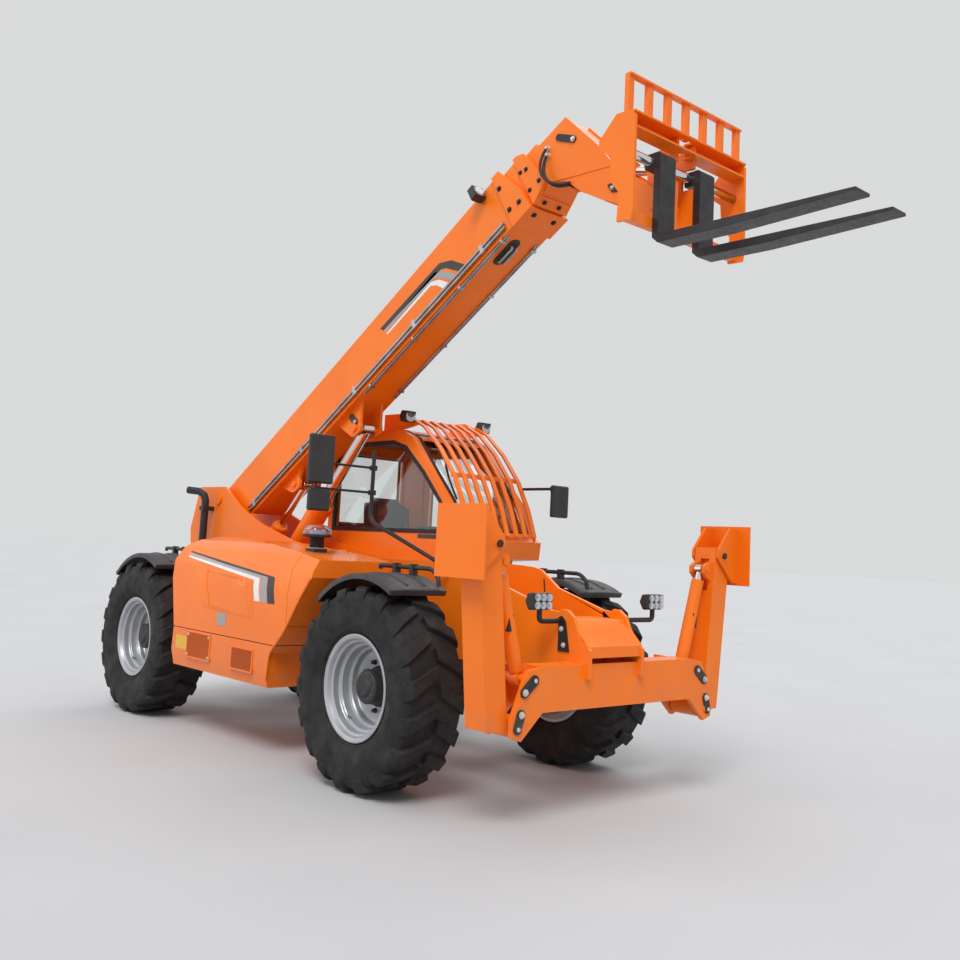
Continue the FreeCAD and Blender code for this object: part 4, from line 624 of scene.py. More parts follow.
def build_tyre(end, name, side, axle_x):
    """Carcass with its bead and shoulder lines, and two rows of slanting lugs."""
    centre = (axle_x, side * WHEEL_Y, AXLE_Z)
    half = ((166, 305), (168, 334), (178, 346), (180, 352), (190, 358), (204, 384), (206, 390), (212, 398),
            (219, 432), (224, 478), (224, 520), (220, 556), (211, 582), (195, 596), (150, 601), (80, 604))
    profile = [(-along, radius) for along, radius in half] + [(0, 605)]
    profile += [(along, radius) for along, radius in reversed(half)]
    carcass = Shape().use(rubber)
    carcass.turned(centre, "Y", profile, 72)
    carcass.done(f"tyre_carcass_{end}_{name}", f"wheel_{end}_{name}", "tyre", f"tyre_{end}_{name}", angle=25)
    pitch = 2 * math.pi / LUGS_IN_A_ROW
    for row, way, first in (("outer", 1, 0.25), ("inner", -1, 0.75)):
        ring = repeated(around_axis, lug_mesh(way), rubber, Count=LUGS_IN_A_ROW, Centre=in_metres(*centre),
                        Turn=(0, pitch, 0), Start=(0, first * pitch, 0))
        settle(f"tyre_lugs_{row}_{end}_{name}", ring, f"wheel_{end}_{name}", "tyre")


def lug_mesh(way):
    """One lug about the wheel's own axis, drawn at the top: it widens and leans forward to the shoulder."""
    # across, top radius, root radius, lean, half width
    stations = ((8, 634, 596, 0, 36), (60, 636, 596, 24, 38), (120, 635, 594, 55, 42),
                (176, 631, 588, 84, 48), (203, 622, 574, 100, 52), (222, 588, 552, 110, 52),
                (225, 552, 540, 112, 48))
    lug = Shape(to_metres).use(rubber)
    points = []
    for across, top, root, lean, half in stations:
        for radius, wide in ((root, half + 9), (top - 5, half), (top, half - 6), (top, -half + 6),
                             (top - 5, -half), (root, -half - 9)):
            angle = (lean + wide) / TREAD_RADIUS
            y = across if radius > root else min(across, 220)
            points.append((radius * math.sin(angle), way * y, radius * math.cos(angle)))
    loops = [tuple(range(6)), tuple(len(points) - 1 - index for index in range(6))]
    for row in range(len(stations) - 1):
        for index in range(6):
            after = (index + 1) % 6
            loops.append((row * 6 + index, row * 6 + after, row * 6 + 6 + after, row * 6 + 6 + index))
    lug.close(points, loops)
    return lug.mesh("lug", angle=20)


def build_rim(end, name, side, axle_x):
    """Stepped silver rim and disc, black planetary hub, wheel nuts and valve."""
    centre = (axle_x, side * WHEEL_Y, AXLE_Z)
    body = f"wheel_{end}_{name}"
    outer = ((166, 304), (171, 318), (172, 329), (176, 333), (181, 332), (183, 326), (181, 314), (174, 303),
             (160, 297), (150, 293), (146, 284), (142, 280), (104, 277), (98, 273), (94, 262), (88, 257),
             (46, 254), (38, 250), (34, 240), (26, 235), (-6, 232), (-14, 227), (-20, 216), (-25, 190),
             (-27, 130), (-27, 60))
    inner = ((-41, 60), (-41, 262), (-60, 276), (-150, 280), (-160, 290), (-172, 303), (-181, 314),
             (-183, 326), (-180, 333), (-174, 331), (-170, 318), (-166, 304))
    rim = Shape().use(rim_silver)
    rim.turned(centre, "Y", facing(side, outer + inner), 72, closed=True)
    rim.done(f"rim_shell_{end}_{name}", body, "rim", f"rim_{end}_{name}", angle=20)
    hub = Shape().use(cast_black)
    profile = ((-75, 60), (-75, 128), (-42, 131), (-24, 131), (-10, 128), (0, 118), (22, 114), (28, 108),
               (84, 104), (92, 96), (96, 60), (103, 56), (108, 50), (110, 0.01))
    hub.turned(centre, "Y", facing(side, profile), 40)
    hub.done(f"hub_{end}_{name}", body, "cast", angle=25)
    for label, count, radius, low, high, size, start in (
            ("wheel_nuts", 10, 158, -28, 6, 15, 0.2), ("hub_bolts", 12, 80, 90, 101, 6.5, 0.0)):
        bolt = Shape(to_metres).use(black_paint)
        profile = ((low, 0.01), (low, size + 4), (low + 4, size + 4), (low + 6, size),
                   (high - 4, size * 0.9), (high, size * 0.45), (high, 0.01))
        bolt.turned((0, 0, radius), "Y", facing(side, profile), 8)
        ring = repeated(around_axis, bolt.mesh("bolt", angle=40), black_paint, Count=count,
                        Centre=in_metres(*centre), Turn=(0, 2 * math.pi / count, 0), Start=(0, start, 0))
        settle(f"{label}_{end}_{name}", ring, body, "cast")
    valve = Shape().use(bare_steel)
    valve.tube([(axle_x - 150, side * (WHEEL_Y + 70), AXLE_Z - 215),
                (axle_x - 135, side * (WHEEL_Y + 120), AXLE_Z - 192)], 7, 0, 10)
    valve.done(f"valve_{end}_{name}", body, "steel", angle=40)


def build_mudguard(end, name, side, axle_x):
    """Moulded guard with turned-down lips and two ribs, and the rail clamped along its inner side."""
    centre = (axle_x, 0, AXLE_Z)
    body = f"knuckle_{end}_{name}"
    inside = 636
    outside = 1076
    start = math.radians(-42)
    sweep = math.radians(70)
    guard = Shape().use(guard_plastic)
    section = ((inside, 676), (inside, 704), (inside + 3, 709), (inside + 12, 713), (inside + 130, 716),
               (outside - 130, 716), (outside - 12, 713), (outside - 3, 709), (outside, 704), (outside, 676),
               (outside - 7, 676), (outside - 8, 700), (outside - 14, 704), (inside + 14, 704),
               (inside + 8, 700), (inside + 7, 676))
    guard.turned(centre, "Y", facing(side, section), 30, start, sweep, closed=True)
    for across in (inside + 150, inside + 285):
        rib = ((across - 11, 714), (across - 7, 723), (across + 7, 723), (across + 11, 714))
        guard.turned(centre, "Y", facing(side, rib), 20, math.radians(-16), math.radians(40), closed=True)
    edge = ((inside, 676), (inside, 713), (outside, 713), (outside, 676))
    for angle in (start, start + sweep):
        guard.turned(centre, "Y", facing(side, edge), 1, angle - math.radians(0.5), math.radians(1.0),
                     closed=True)
    guard.done(f"mudguard_shell_{end}_{name}", body, "plastic_dark", f"mudguard_{end}_{name}", angle=30)
    rail = Shape().use(black_plastic)
    y = side * (inside + 60)
    rail.tube([(axle_x - 300, y, 1372), (axle_x - 300, y, 1398), (axle_x + 250, y, 1398),
               (axle_x + 318, y, 1350), (axle_x + 330, y, 1290)], 15, 60, 12)
    for x in (-120, 60):
        rail.block((axle_x + x - 18, axle_x + x + 18), (y - 22, y + 22), (1346, 1420))
    rail.done(f"mudguard_rail_{end}_{name}", body, "plastic_dark", bevel=2.5)


for end, axle_x in AXLES:
    for name, side in SIDES:
        build_tyre(end, name, side, axle_x)
        build_rim(end, name, side, axle_x)
        build_mudguard(end, name, side, axle_x)
        skin(f"knuckle_{end}_{name}", cast_black, "cast")
    skin(f"{end}_axle", cast_black, "cast", 4)

# Nodes that keep their shape

for node, finish, slot, bevel in (
        ("chassis_frame", orange, "paint", 2.5), ("stabiliser_beam", orange, "paint", 4),
        ("boom_outer", orange, "paint", 5), ("boom_middle", orange, "paint", 4),
        ("boom_inner", orange, "paint", 4),
        ("lift_barrel", orange, "paint", 3), ("lift_rod", chrome, "chrome", 1),
        ("levelling_barrel", orange, "paint", 3), ("levelling_rod", chrome, "chrome", 1),
        ("tilt_barrel", orange, "paint", 2), ("tilt_rod", chrome, "chrome", 1),
        ("carriage", orange, "paint", 2.5), ("forks", worn_steel, "paint_black", 4),
        ("engine_hood", hood_orange, "plastic_orange", 9), ("engine_skirt", hood_orange, "plastic_orange", 9),
        ("engine_block", cast_black, "cast", 6), ("cab_frame", orange, "paint", 6),
        ("cab_glass", glass, "glass", 0.0), ("cab_door", orange, "paint", 4),
        ("cab_door_glass", glass, "glass", 0.0),
        ("steering_console", black_plastic, "plastic_dark", 5),
        ("cab_guard", orange, "paint", 1.5), ("roof_lamps", black_plastic, "plastic_dark", 6),
        ("fuel_tank", black_plastic, "paint_black", 8),
        ("exhaust_stack", black_paint, "paint_black", 1.5), ("boom_lamp", black_plastic, "plastic_dark", 4),
        ("boom_pipes", bare_steel, "steel", 1)):
    skin(node, finish, slot, bevel)
for name, side in SIDES:
    skin(f"stabiliser_leg_{name}", orange, "paint", 4)
    skin(f"stabiliser_foot_{name}", orange, "paint", 2)
    skin(f"stabiliser_barrel_{name}", orange, "paint", 2)
    skin(f"stabiliser_rod_{name}", chrome, "chrome", 1)

# Engine pod: films, panels, grilles and fittings

# The pod's right side as it leans in towards its top: height, then how far out it stands
POD_SIDE = ((500, -1070), (620, POD_FACE), (1180, POD_FACE), (1330, -1075), (1430, -1015), (1495, -920),
            (1530, -780))
# Heights at which an outline laid on that side is cut, to follow its lean
POD_CUTS = (620, 1180, 1230, 1280, 1330, 1365, 1398, 1430)
MESH_PITCH = 18
STRAND_HALF = 2.6
hood_body = body_of("engine_hood")
frame_body = body_of("engine_skirt")


def pod_side(z):
    """How far out the pod's right side stands at a height."""
    for (low, near), (high, far) in zip(POD_SIDE, POD_SIDE[1:]):
        if z <= high:
            return near + (far - near) * max(0.0, z - low) / (high - low)
    return POD_SIDE[-1][1]


def laid_on_pod(shape, outline, proud, sunk=1.0):
    """An outline in x and z laid on the pod's leaning side."""
    flat = bmesh.new()
    flat.faces.new([flat.verts.new((x, 0, z)) for x, z in outline])
    bmesh.ops.triangulate(flat, faces=flat.faces)
    for level in POD_CUTS:
        bmesh.ops.bisect_plane(flat, geom=flat.verts[:] + flat.edges[:] + flat.faces[:],
                               plane_co=(0, 0, level), plane_no=(0, 0, 1))
    flat.verts.index_update()
    count = len(flat.verts)
    points = [(vertex.co.x, pod_side(vertex.co.z) - proud, vertex.co.z) for vertex in flat.verts]
    points += [(x, y + proud + sunk, z) for x, y, z in points]
    loops = []
    for face in flat.faces:
        loop = [vertex.index for vertex in face.verts]
        loops.append(tuple(loop))
        loops.append(tuple(index + count for index in reversed(loop)))
    for edge in flat.edges:
        if edge.is_boundary:
            first, second = (vertex.index for vertex in edge.verts)
            loops.append((first, second, second + count, first + count))
    flat.free()
    shape.close(points, loops)


def hex_bolt(shape, centre, axis, radius, height, way=1):
    """A washer, a hexagon head and the stub of its thread."""
    washer = ((0, 0.01), (0, radius * 1.45), (height * 0.2, radius * 1.45), (height * 0.2, 0.01))
    head = ((height * 0.2, 0.01), (height * 0.2, radius), (height * 0.85, radius), (height, radius * 0.8),
            (height, 0.01))
    shape.turned(centre, axis, facing(way, washer), 20)
    shape.turned(centre, axis, facing(way, head), 6)


def bolt_set(name, body, finish, centres, axis, radius, height, way=1, place=machine):
    """Hexagon bolts of one size in several places, as one piece."""
    bolts = Shape(place).use(finish)
    for centre in centres:
        hex_bolt(bolts, centre, axis, radius, height, way)
    bolts.done(name, body, "steel", bevel=0.6)


def build_pod_trim():
    """Three stripes, the lid's outline, a blank plate and label, and the lip of the wheel arch."""
    for label, finish, outline in (
            ("dark", dark_film, ((-2412, 1404), (-1636, 1332), (-1009, 1268), (-964, 1083), (-1059, 1081),
                                 (-1098, 1263), (-1640, 1316), (-2404, 1393))),
            ("silver", silver_film, ((-2406, 1387), (-1640, 1315), (-1110, 1265), (-1067, 1084),
                                     (-1156, 1082), (-1193, 1250), (-2406, 1373))),
            ("white", white_film, ((-2397, 1367), (-1640, 1298), (-1210, 1251), (-1172, 1086), (-1244, 1087),
                                   (-1281, 1233), (-2400, 1356)))):
        stripe = Shape().use(finish)
        laid_on_pod(stripe, outline, 1.4)
        stripe.done(f"hood_stripe_{label}", hood_body, None, angle=40)
    outer = ((-2163, 1327), (-1315, 1228), (-1240, 958), (-2043, 992))
    inner = ((-2005, 1269), (-1523, 1231), (-1415, 979), (-1919, 1006))
    between = [((a[0] * 2 + b[0]) / 3, (a[1] * 2 + b[1]) / 3) for a, b in zip(outer, inner)]
    panel = Shape().use(hood_orange)
    for index in range(4):
        after = (index + 1) % 4
        laid_on_pod(panel, (between[index], between[after], inner[after], inner[index]), 4.5)
        laid_on_pod(panel, (outer[index], outer[after], between[after], between[index]), 2.5)
    panel.done("hood_side_panel", hood_body, "plastic_orange", angle=20)
    plate = Shape().use(silver_film)
    plate.block((-1766, -1637), (POD_FACE - 3, POD_FACE + 1), (871, 963))
    plate.done("hood_blank_plate", hood_body, None, bevel=1.2)
    label = Shape().use(yellow_film)
    label.block((-2416, -2227), (POD_FACE - 1.5, POD_FACE + 1), (637, 739))
    label.done("skirt_blank_label", frame_body, None)
    lip = Shape().use(hood_orange)
    lip.tube([(-1024, -1092, 560), (-1000, -1095, 740), (-830, -1095, 900), (-660, -1095, 1136),
              (-546, -1088, 1284)], 10, 60)
    lip.done("wheel_arch_lip", frame_body, "plastic_orange", angle=40)


def build_grille(label, x, z, with_screws):
    """Expanded mesh over a black sheet of painted shade in its opening, in a thin rim."""
    # A black sheet on the pod's face behind the mesh: painted shade for the dark opening.
    dark = Shape().use(black_plastic)
    dark.block(x, (POD_FACE - 1, POD_FACE + 2), z)
    dark.done(f"{label}_painted_shade", frame_body, "plastic_dark")
    rim = Shape().use(hood_orange)
    inner = ((x[0], z[0]), (x[1], z[0]), (x[1], z[1]), (x[0], z[1]))
    outer = ((x[0] - 12, z[0] - 12), (x[1] + 12, z[0] - 12), (x[1] + 12, z[1] + 12), (x[0] - 12, z[1] + 12))
    rim.ring("Y", inner, outer, POD_FACE - 7, POD_FACE + 2)
    rim.done(f"{label}_rim", frame_body, "plastic_orange", bevel=2)
    columns = int((x[1] - x[0]) / MESH_PITCH)
    rows = int((z[1] - z[0]) / MESH_PITCH)
    wide = (x[1] - x[0]) / columns
    tall = (z[1] - z[0]) / rows
    strand = Shape().use(mesh_orange)
    left = x[0]
    right = left + wide
    for near, far in ((z[0], z[0] + tall), (z[0] + tall, z[0])):
        strand.prism("Y", ((left, near - STRAND_HALF), (right, far - STRAND_HALF), (right, far + STRAND_HALF),
                           (left, near + STRAND_HALF)), POD_FACE - 5.5, POD_FACE - 2.5)
    mesh = repeated(in_rows, strand.mesh("strand"), mesh_orange, Count=columns * rows, Columns=columns,
                    Column_step=(wide / 1000, 0, 0), Row_step=(0, 0, tall / 1000))
    settle(f"{label}_mesh", mesh, frame_body, "plastic_orange")
    if with_screws:
        screws = Shape().use(bolt_white)
        for across in (x[0] + 16, x[1] - 16):
            for level in (z[0] + 16, z[1] - 16):
                hex_bolt(screws, (across, POD_FACE - 4, level), "Y", 8, 8, -1)
        screws.done(f"{label}_screws", frame_body, "steel", angle=35)


def build_beacon():
    """Ring, ribbed stem and cup, and a clear dome over its light."""
    body = body_of("beacon")
    centre = (-960, -790, 1480)
    base = Shape().use(bare_steel)
    base.disc(centre, "Z", 70, 0, 9, 40)
    base.done("beacon_ring", body, "steel", "beacon", angle=35)
    stem = Shape().use(black_plastic)
    stem.block((centre[0] - 56, centre[0] + 56), (centre[1] - 56, centre[1] + 56), (1452, 1481))
    profile = [(9, 0.01)]
    for rib in range(7):
        low = 9 + rib * 10
        profile += [(low, 51), (low + 2, 56), (low + 6, 56), (low + 8, 51)]
    profile += [(80, 56), (84, 102), (92, 107), (101, 107), (103, 104), (103, 0.01)]
    stem.turned(centre, "Z", profile, 40)
    stem.done("beacon_stem", body, "plastic_dark", bevel=1.0)
    core = Shape().use(beacon_core)
    core.turned(centre, "Z", ((103, 0.01), (103, 62), (130, 58), (136, 40), (136, 0.01)), 24)
    core.done("beacon_light", body, None, angle=40)
    dome = Shape().use(beacon_glass)
    outside = ((103.5, 102), (104, 105), (130, 102), (150, 93), (166, 71), (174, 40), (176, 0.01))
    inside = ((172, 0.01), (170, 38), (162, 68), (147, 89), (130, 98), (103.5, 100))
    dome.turned(centre, "Z", outside + inside, 40, closed=True)
    dome.done("beacon_dome", body, "glass", angle=50)


build_pod_trim()
build_grille("rear_grille", (-2218, -1854), (595, 778), True)
build_grille("front_grille", (-1506, -1214), (589, 734), False)
build_beacon()

# Boom: films, wear pad bolts, pipes and the head's fittings

outer_body = body_of("boom_outer")
middle_body = body_of("boom_middle")
inner_body = body_of("boom_inner")


def build_boom_stripes(side, way):
    for label, finish, outline in (
            ("dark", dark_film, ((2614, -37), (3414, -53), (3531, -127), (3643, -274), (3568, -273),
                                 (3458, -140), (3409, -108), (2640, -76))),
            ("silver", silver_film, ((2642, -86), (3335, -78), (3435, -143), (3539, -279), (3488, -288),
                                     (3364, -155), (3303, -119), (2660, -109))),
            ("white", white_film, ((2658, -124), (3270, -117), (3358, -166), (3443, -279), (3377, -279),
                                   (3314, -185), (3258, -143), (2671, -140)))):
        stripe = Shape(boom).use(finish)
        stripe.prism("Y", outline, *span(way, OUTER_SIDE - 0.6, OUTER_SIDE + 1.4))
        stripe.done(f"boom_stripe_{label}_{side}", outer_body, None, angle=40)


def build_collar_bolts(side, way):
    """The bolts that hold the wear pads in each collar's side."""
    outer = [(u, way * OUTER_COLLAR_SIDE, v) for u, v in ((4173, -29), (4180, -240), (4276, -257))]
    bolt_set(f"outer_collar_bolts_{side}", outer_body, black_paint, outer, "Y", 14, 15, way, boom)
    middle = [(u, way * MIDDLE_COLLAR_SIDE, v)
              for u, v in ((4422, -79), (4370, -60), (4475, -241), (4379, -238))]
    bolt_set(f"middle_collar_bolts_{side}", middle_body, black_paint, middle, "Y", 12, 13, way, boom)


def build_head_side(side, way):
    """Pin locks with their bolts, the carriage pin's end and the weld along the head's plate."""
    lock = Shape(boom).use(black_paint)
    lock.capsule("Y", (4738, -83), (4828, -196), 24, *span(way, HEAD_SIDE, HEAD_SIDE + 10))
    lock.prism("Y", ((4890, -690), (4938, -706), (4932, -786), (4896, -760)),
               *span(way, HEAD_SIDE, HEAD_SIDE + 9))
    lock.done(f"head_pin_locks_{side}", inner_body, "paint_black", bevel=2)
    white = Shape(boom).use(bolt_white)
    hex_bolt(white, (4828, way * (HEAD_SIDE + 10), -196), "Y", 13, 14, way)
    hex_bolt(white, (4914, way * (HEAD_SIDE + 9), -736), "Y", 9, 11, way)
    white.disc((HEAD_PIN_U, 0, HEAD_PIN_V), "Y", 26, *span(way, HEAD_SIDE - 1, HEAD_SIDE + 7), 24)
    white.done(f"head_bolts_{side}", inner_body, "steel", bevel=0.6)
    weld = Shape(boom).use(orange)
    y = way * (HEAD_SIDE + 1)
    weld.tube([(4551, y, -313), (4700, y, -416), (4966, y, -590)], 5, 0, 8)
    weld.done(f"head_weld_{side}", inner_body, "paint", angle=50)


def build_boom_underside():
    """Collar bolts, four pipes with their clamps, and the port where two of them go in."""
    bolt_set("outer_collar_bolts_below", outer_body, black_paint, ((4290, -104, -369), (4284, 91, -369)),
             "Z", 14, 14, -1, boom)
    bolt_set("middle_collar_bolts_below", middle_body, black_paint, ((4392, -80, -342), (4392, 62, -342)),
             "Z", 12, 13, -1, boom)
    pipes = Shape(boom).use(bare_steel)
    for y in (-154, -136, 136, 154):
        pipes.tube([(2200, y, -364), (4020, y, -364), (4060, y * 0.97, -354)], 7, 20, 10)
    for u in (2300, 2900, 3500, 4000):
        for y in (-145, 145):
            pipes.block((u - 12, u + 12), (y - 24, y + 24), (-374, -354))
    pipes.done("boom_pipes_below", outer_body, "steel", bevel=1)
    port = Shape(boom).use(black_paint)
    port.capsule("Z", (3830, -40), (4000, -40), 46, -360, -353)
    port.done("boom_port_below", outer_body, "paint_black", bevel=1.5)
    bends = Shape(boom).use(bare_steel)
    for y in (-62, -18):
        bends.tube([(3830, y, -352), (3830, y, -392), (3990, y, -392), (3990, y, -352)], 9, 34, 10)
    bends.done("boom_port_bends", outer_body, "steel", angle=40)


def build_fork_bar():
    """A bright sleeve just over the carriage's own bar, between the forks' hooks and its side plates."""
    bar = Shape().use(chrome)
    bar.disc(FORK_BAR, "Y", FORK_BAR_RADIUS + 0.8, -FORK_BAR_REACH, FORK_BAR_REACH, 32, 1)
    bar.done("fork_bar_sleeve", body_of("carriage"), "chrome", angle=40)


def build_hose(label, centre, bend, first, last, bulge):
    """A hydraulic hose from a fitting on the head round to its lower edge, drawn in the boom's frame."""
    line = []
    for step in range(HOSE_STEPS + 1):
        part = step / HOSE_STEPS
        angle = math.radians(first + (last - first) * part)
        line.append((centre[0] + bend * math.cos(angle), -150 + 7 * part - bulge * math.sin(math.pi * part),
                     centre[1] + bend * math.sin(angle)))
    pipe = Shape(boom).use(seal_rubber)
    pipe.tube(line, HOSE_RADIUS, 0, 12)
    hose = pipe.done(label, inner_body, None, angle=50)


def build_boom_lamp():
    body = body_of("boom_lamp")
    centre = (4045, -234, 55)
    bowl = Shape(boom).use(lamp_white)
    bowl.disc(centre, "X", 41, -1, 4, 32)
    bowl.done("boom_lamp_bowl", body, None, angle=35)
    lens = Shape(boom).use(lens_glass)
    lens.disc(centre, "X", 38, 4.5, 9, 32)
    lens.done("boom_lamp_lens", body, "glass", angle=35)


def build_lift_pin_lock():
    lock = Shape().use(black_paint)
    lock.capsule("Y", (-1479, 2542), (-1420, 2500), 26, -211, -201)
    lock.done("lift_pin_lock", outer_body, "paint_black", bevel=2)
    bolt_set("lift_pin_lock_bolt", outer_body, bolt_white, ((-1420, -211, 2500),), "Y", 12, 13, -1)


for side, way in SIDES:
    build_boom_stripes(side, way)
    build_collar_bolts(side, way)
    build_head_side(side, way)
build_boom_underside()
build_fork_bar()
bolt_set("hose_fittings", inner_body, bolt_white, ((4631, -HEAD_SIDE, -81), (4609, -HEAD_SIDE, -125)),
         "Y", 13, 33, -1, boom)
build_hose("head_hose_outer", (4740, -255), 205, 122, 250, 50)
build_hose("head_hose_inner", (4726, -275), 190, 128, 245, 25)
build_boom_lamp()
build_lift_pin_lock()

# Front: beam fittings and headlamps

beam_body = body_of("stabiliser_beam")


def build_beam_fittings(name, side):
    """Pin locks and their bolts at the beam's end, and the valve and pin end on the leg behind it."""
    locks = Shape().use(black_paint)
    for first, second, radius in (((750, 830), (825, 769), 31), ((846, 650), (868, 574), 29)):
        locks.capsule("X", (side * first[0], first[1]), (side * second[0], second[1]), radius,
                      BEAM_FRONT, BEAM_FRONT + 11)
    locks.done(f"beam_pin_locks_{name}", beam_body, "paint_black", bevel=2.5)
    bolts = Shape().use(bolt_white)
    for y, z in ((825, 769), (846, 650)):
        hex_bolt(bolts, (BEAM_FRONT + 11, side * y, z), "X", 14, 15)
    for y, z in ((750, 830), (868, 574)):
        bolts.disc((BEAM_FRONT + 11, side * y, z), "X", 13, 0, 8, 16)
    bolts.done(f"beam_lock_bolts_{name}", beam_body, "steel", bevel=0.6)
    valve = Shape().use(black_paint)
    valve.block((1120, 1166), span(side, 830, 872), (1090, 1190))
    valve.done(f"leg_valve_{name}", body_of(f"stabiliser_barrel_{name}"), "paint_black", bevel=5)
    boss = Shape().use(black_paint)
    boss.disc((1249, side * 1048, 1577), "X", 22, -2, 10, 24)
    boss.done(f"foot_pin_end_{name}", body_of(f"stabiliser_foot_{name}"), "paint_black", angle=35)


def build_headlamp(name, side, replaced):
    """Rounded case on a bent arm, with six round lights in bowls behind a clear cover."""
    body = body_of("headlamps")
    middle = side * 526
    face = BOOM_Y + side * FRAME_SIDE
    case = Shape().use(black_plastic)
    case.prism("Y", ((1040, 1200), (1085, 1206), (1090, 1306), (1030, 1300), (1010, 1250)),
               middle - 79, middle + 79)
    case.done(f"headlamp_case_{name}", body, "plastic_dark", *replaced, bevel=11, segments=4)
    arm = Shape().use(black_paint)
    arm.tube([(1061, face + side * 2, 1138), (1061, middle, 1138), (1061, middle, 1206)], 16, 60, 16)
    arm.prism("Y", ((1050, 960), (1140, 960), (1105, 1135), (1072, 1168), (1050, 1160)),
              *sorted((face, face + side * 8)))
    arm.done(f"headlamp_arm_{name}", body, "paint_black", angle=35)
    bolt_set(f"headlamp_bolts_{name}", body, bolt_white,
             [(x, face + side * 8, z) for x, z in ((1075, 1092), (1096, 998))], "Y", 11, 12, side)
    bowls = Shape().use(chrome)
    lights = Shape().use(lamp_white)
    for column in (-1, 0, 1):
        for level in (1231, 1278):
            bowls.turned((1086, middle + column * 49, level), "X",
                         ((0, 0.01), (0, 21.5), (7, 23), (8, 21.5), (6, 17), (3.5, 9), (3, 0.01)), 24)
            lights.disc((1089, middle + column * 49, level), "X", 7, 0, 4, 12)
    bowls.done(f"headlamp_bowls_{name}", body, "chrome", angle=35)
    lights.done(f"headlamp_lights_{name}", body, None, angle=35)
    cover = Shape().use(lens_glass)
    cover.block((1095, 1098), (middle - 70, middle + 70), (1210, 1299))
    cover.done(f"headlamp_cover_{name}", body, "glass", bevel=1.4)


for name, side in SIDES:
    build_beam_fittings(name, side)
slot = Shape().use(black_plastic)
slot.prism("Y", ((434, 1361), (446, 1361), (458, 1277), (446, 1277)), 133, 136)
slot.done("frame_cable_slot", frame_body, "plastic_dark")
build_headlamp("right", -1, ("headlamps",))
build_headlamp("left", 1, ())

# Cab: seals, wiper, lining, seat, mirrors and roof lamps

cab_body = body_of("cab_frame")


def offset_outline(points, amount):
    """Every corner of an outline moved out by the same distance from both of its edges."""
    area = sum(a[0] * b[1] - b[0] * a[1] for a, b in zip(points, points[1:] + points[:1]))
    turn = 1 if area > 0 else -1
    result = []
    for index, here in enumerate(points):
        before = Vector(here) - Vector(points[index - 1])
        after = Vector(points[(index + 1) % len(points)]) - Vector(here)
        first = Vector((before.y, -before.x)).normalized() * turn
        second = Vector((after.y, -after.x)).normalized() * turn
        middle = (first + second).normalized()
        result.append(tuple(Vector(here) + middle * (amount / max(0.3, middle.dot(first)))))
    return result


def build_side_window_seal():
    window = [(-2200, 1660), (-2200, 2370), (-1400, 2370), (-1230, 2320), (-985, 2115), (-760, 1885),
              (-640, 1660)]
    seal = Shape().use(seal_rubber)
    seal.ring("Y", offset_outline(window, -12), offset_outline(window, 22), 169.5, 177)
    seal.ring("Y", offset_outline(window, -12), offset_outline(window, -1), 176, 196)
    seal.done("side_window_seal", cab_body, None, bevel=2)


def build_rear_window_seal():
    window = [(255, 1700), (930, 1700), (930, 2320), (255, 2320)]
    seal = Shape().use(seal_rubber)
    seal.ring("X", offset_outline(window, -14), offset_outline(window, 20), -2296, -2286)
    seal.done("rear_window_seal", cab_body, None, bevel=1.5)


def build_windscreen_seal():
    """Rubber down both edges of the screen, and across its top and foot."""
    screen = ((-1330, 2480), (-1150, 2410), (-900, 2134), (-671, 1898), (-546, 1652))
    edge = [(x + 4, z + 2) for x, z in screen] + [(x - 9, z - 5) for x, z in reversed(screen)]
    seal = Shape().use(seal_rubber)
    for low, high in ((232, 262), (923, 953)):
        seal.prism("Y", edge, low, high)
    seal.prism("Y", ((-546, 1652), (-542, 1653), (-560, 1690), (-570, 1686)), 262, 923)
    seal.prism("Y", ((-1236, 2452), (-1228, 2450), (-1190, 2424), (-1200, 2418)), 262, 923)
    seal.done("windscreen_seal", cab_body, None, angle=30)


def build_door_fittings():
    """The seal of the door's window, and its handle on a plate."""
    body = body_of("cab_door")
    window = [(-1875, 1220), (-1875, 2315), (-1360, 2315), (-1250, 2245), (-1035, 2105), (-1005, 1700),
              (-1005, 1220)]
    seal = Shape().use(seal_rubber)
    seal.ring("Y", offset_outline(window, -12), offset_outline(window, 20), 1008, 1014)
    seal.done("door_window_seal", body, None, bevel=1.5)
    handle = Shape().use(black_plastic)
    handle.capsule("Y", (-958, 1500), (-958, 1600), 16, 1009, 1018)
    handle.tube([(-958, 1012, 1500), (-958, 1040, 1515), (-958, 1040, 1585), (-958, 1012, 1600)], 8, 16, 10)
    handle.done("door_handle", body, "plastic_dark", angle=35)


def build_wiper():
    wiper = Shape().use(black_plastic)
    wiper.tube([(-1180, 470, 2384), (-1030, 430, 2232), (-912, 380, 2100)], 6, 20, 8)
    wiper.tube([(-1010, 420, 2196), (-900, 372, 2082), (-745, 330, 1920)], 8, 20, 8)
    wiper.block((-1230, -1170), (440, 500), (2372, 2404))
    wiper.done("wiper", cab_body, "plastic_dark", angle=35)


def build_lining():
    """Roof lining, side and rear lining up to the windows, floor mat, and the strip at the sill."""
    lining = Shape().use(cab_lining)
    lining.block((-2220, -1350), (240, 945), (2404, 2418))
    lining.block((-2220, -900), (237, 243), (965, 1655))
    lining.block((-2226, -2220), (250, 930), (965, 1695))
    lining.block((-2226, -900), (240, 945), (962, 970))
    lining.prism("Y", ((-1340, 2404), (-1230, 2344), (-1224, 2352), (-1338, 2418)), 250, 935)
    lining.done("cab_inner_lining", cab_body, "plastic_dark", bevel=3)
    strip = Shape().use(dark_film)
    strip.block((-1010, -480), (171, 175), (1600, 1630))
    strip.done("cab_sill_strip", cab_body, None, bevel=0.8)


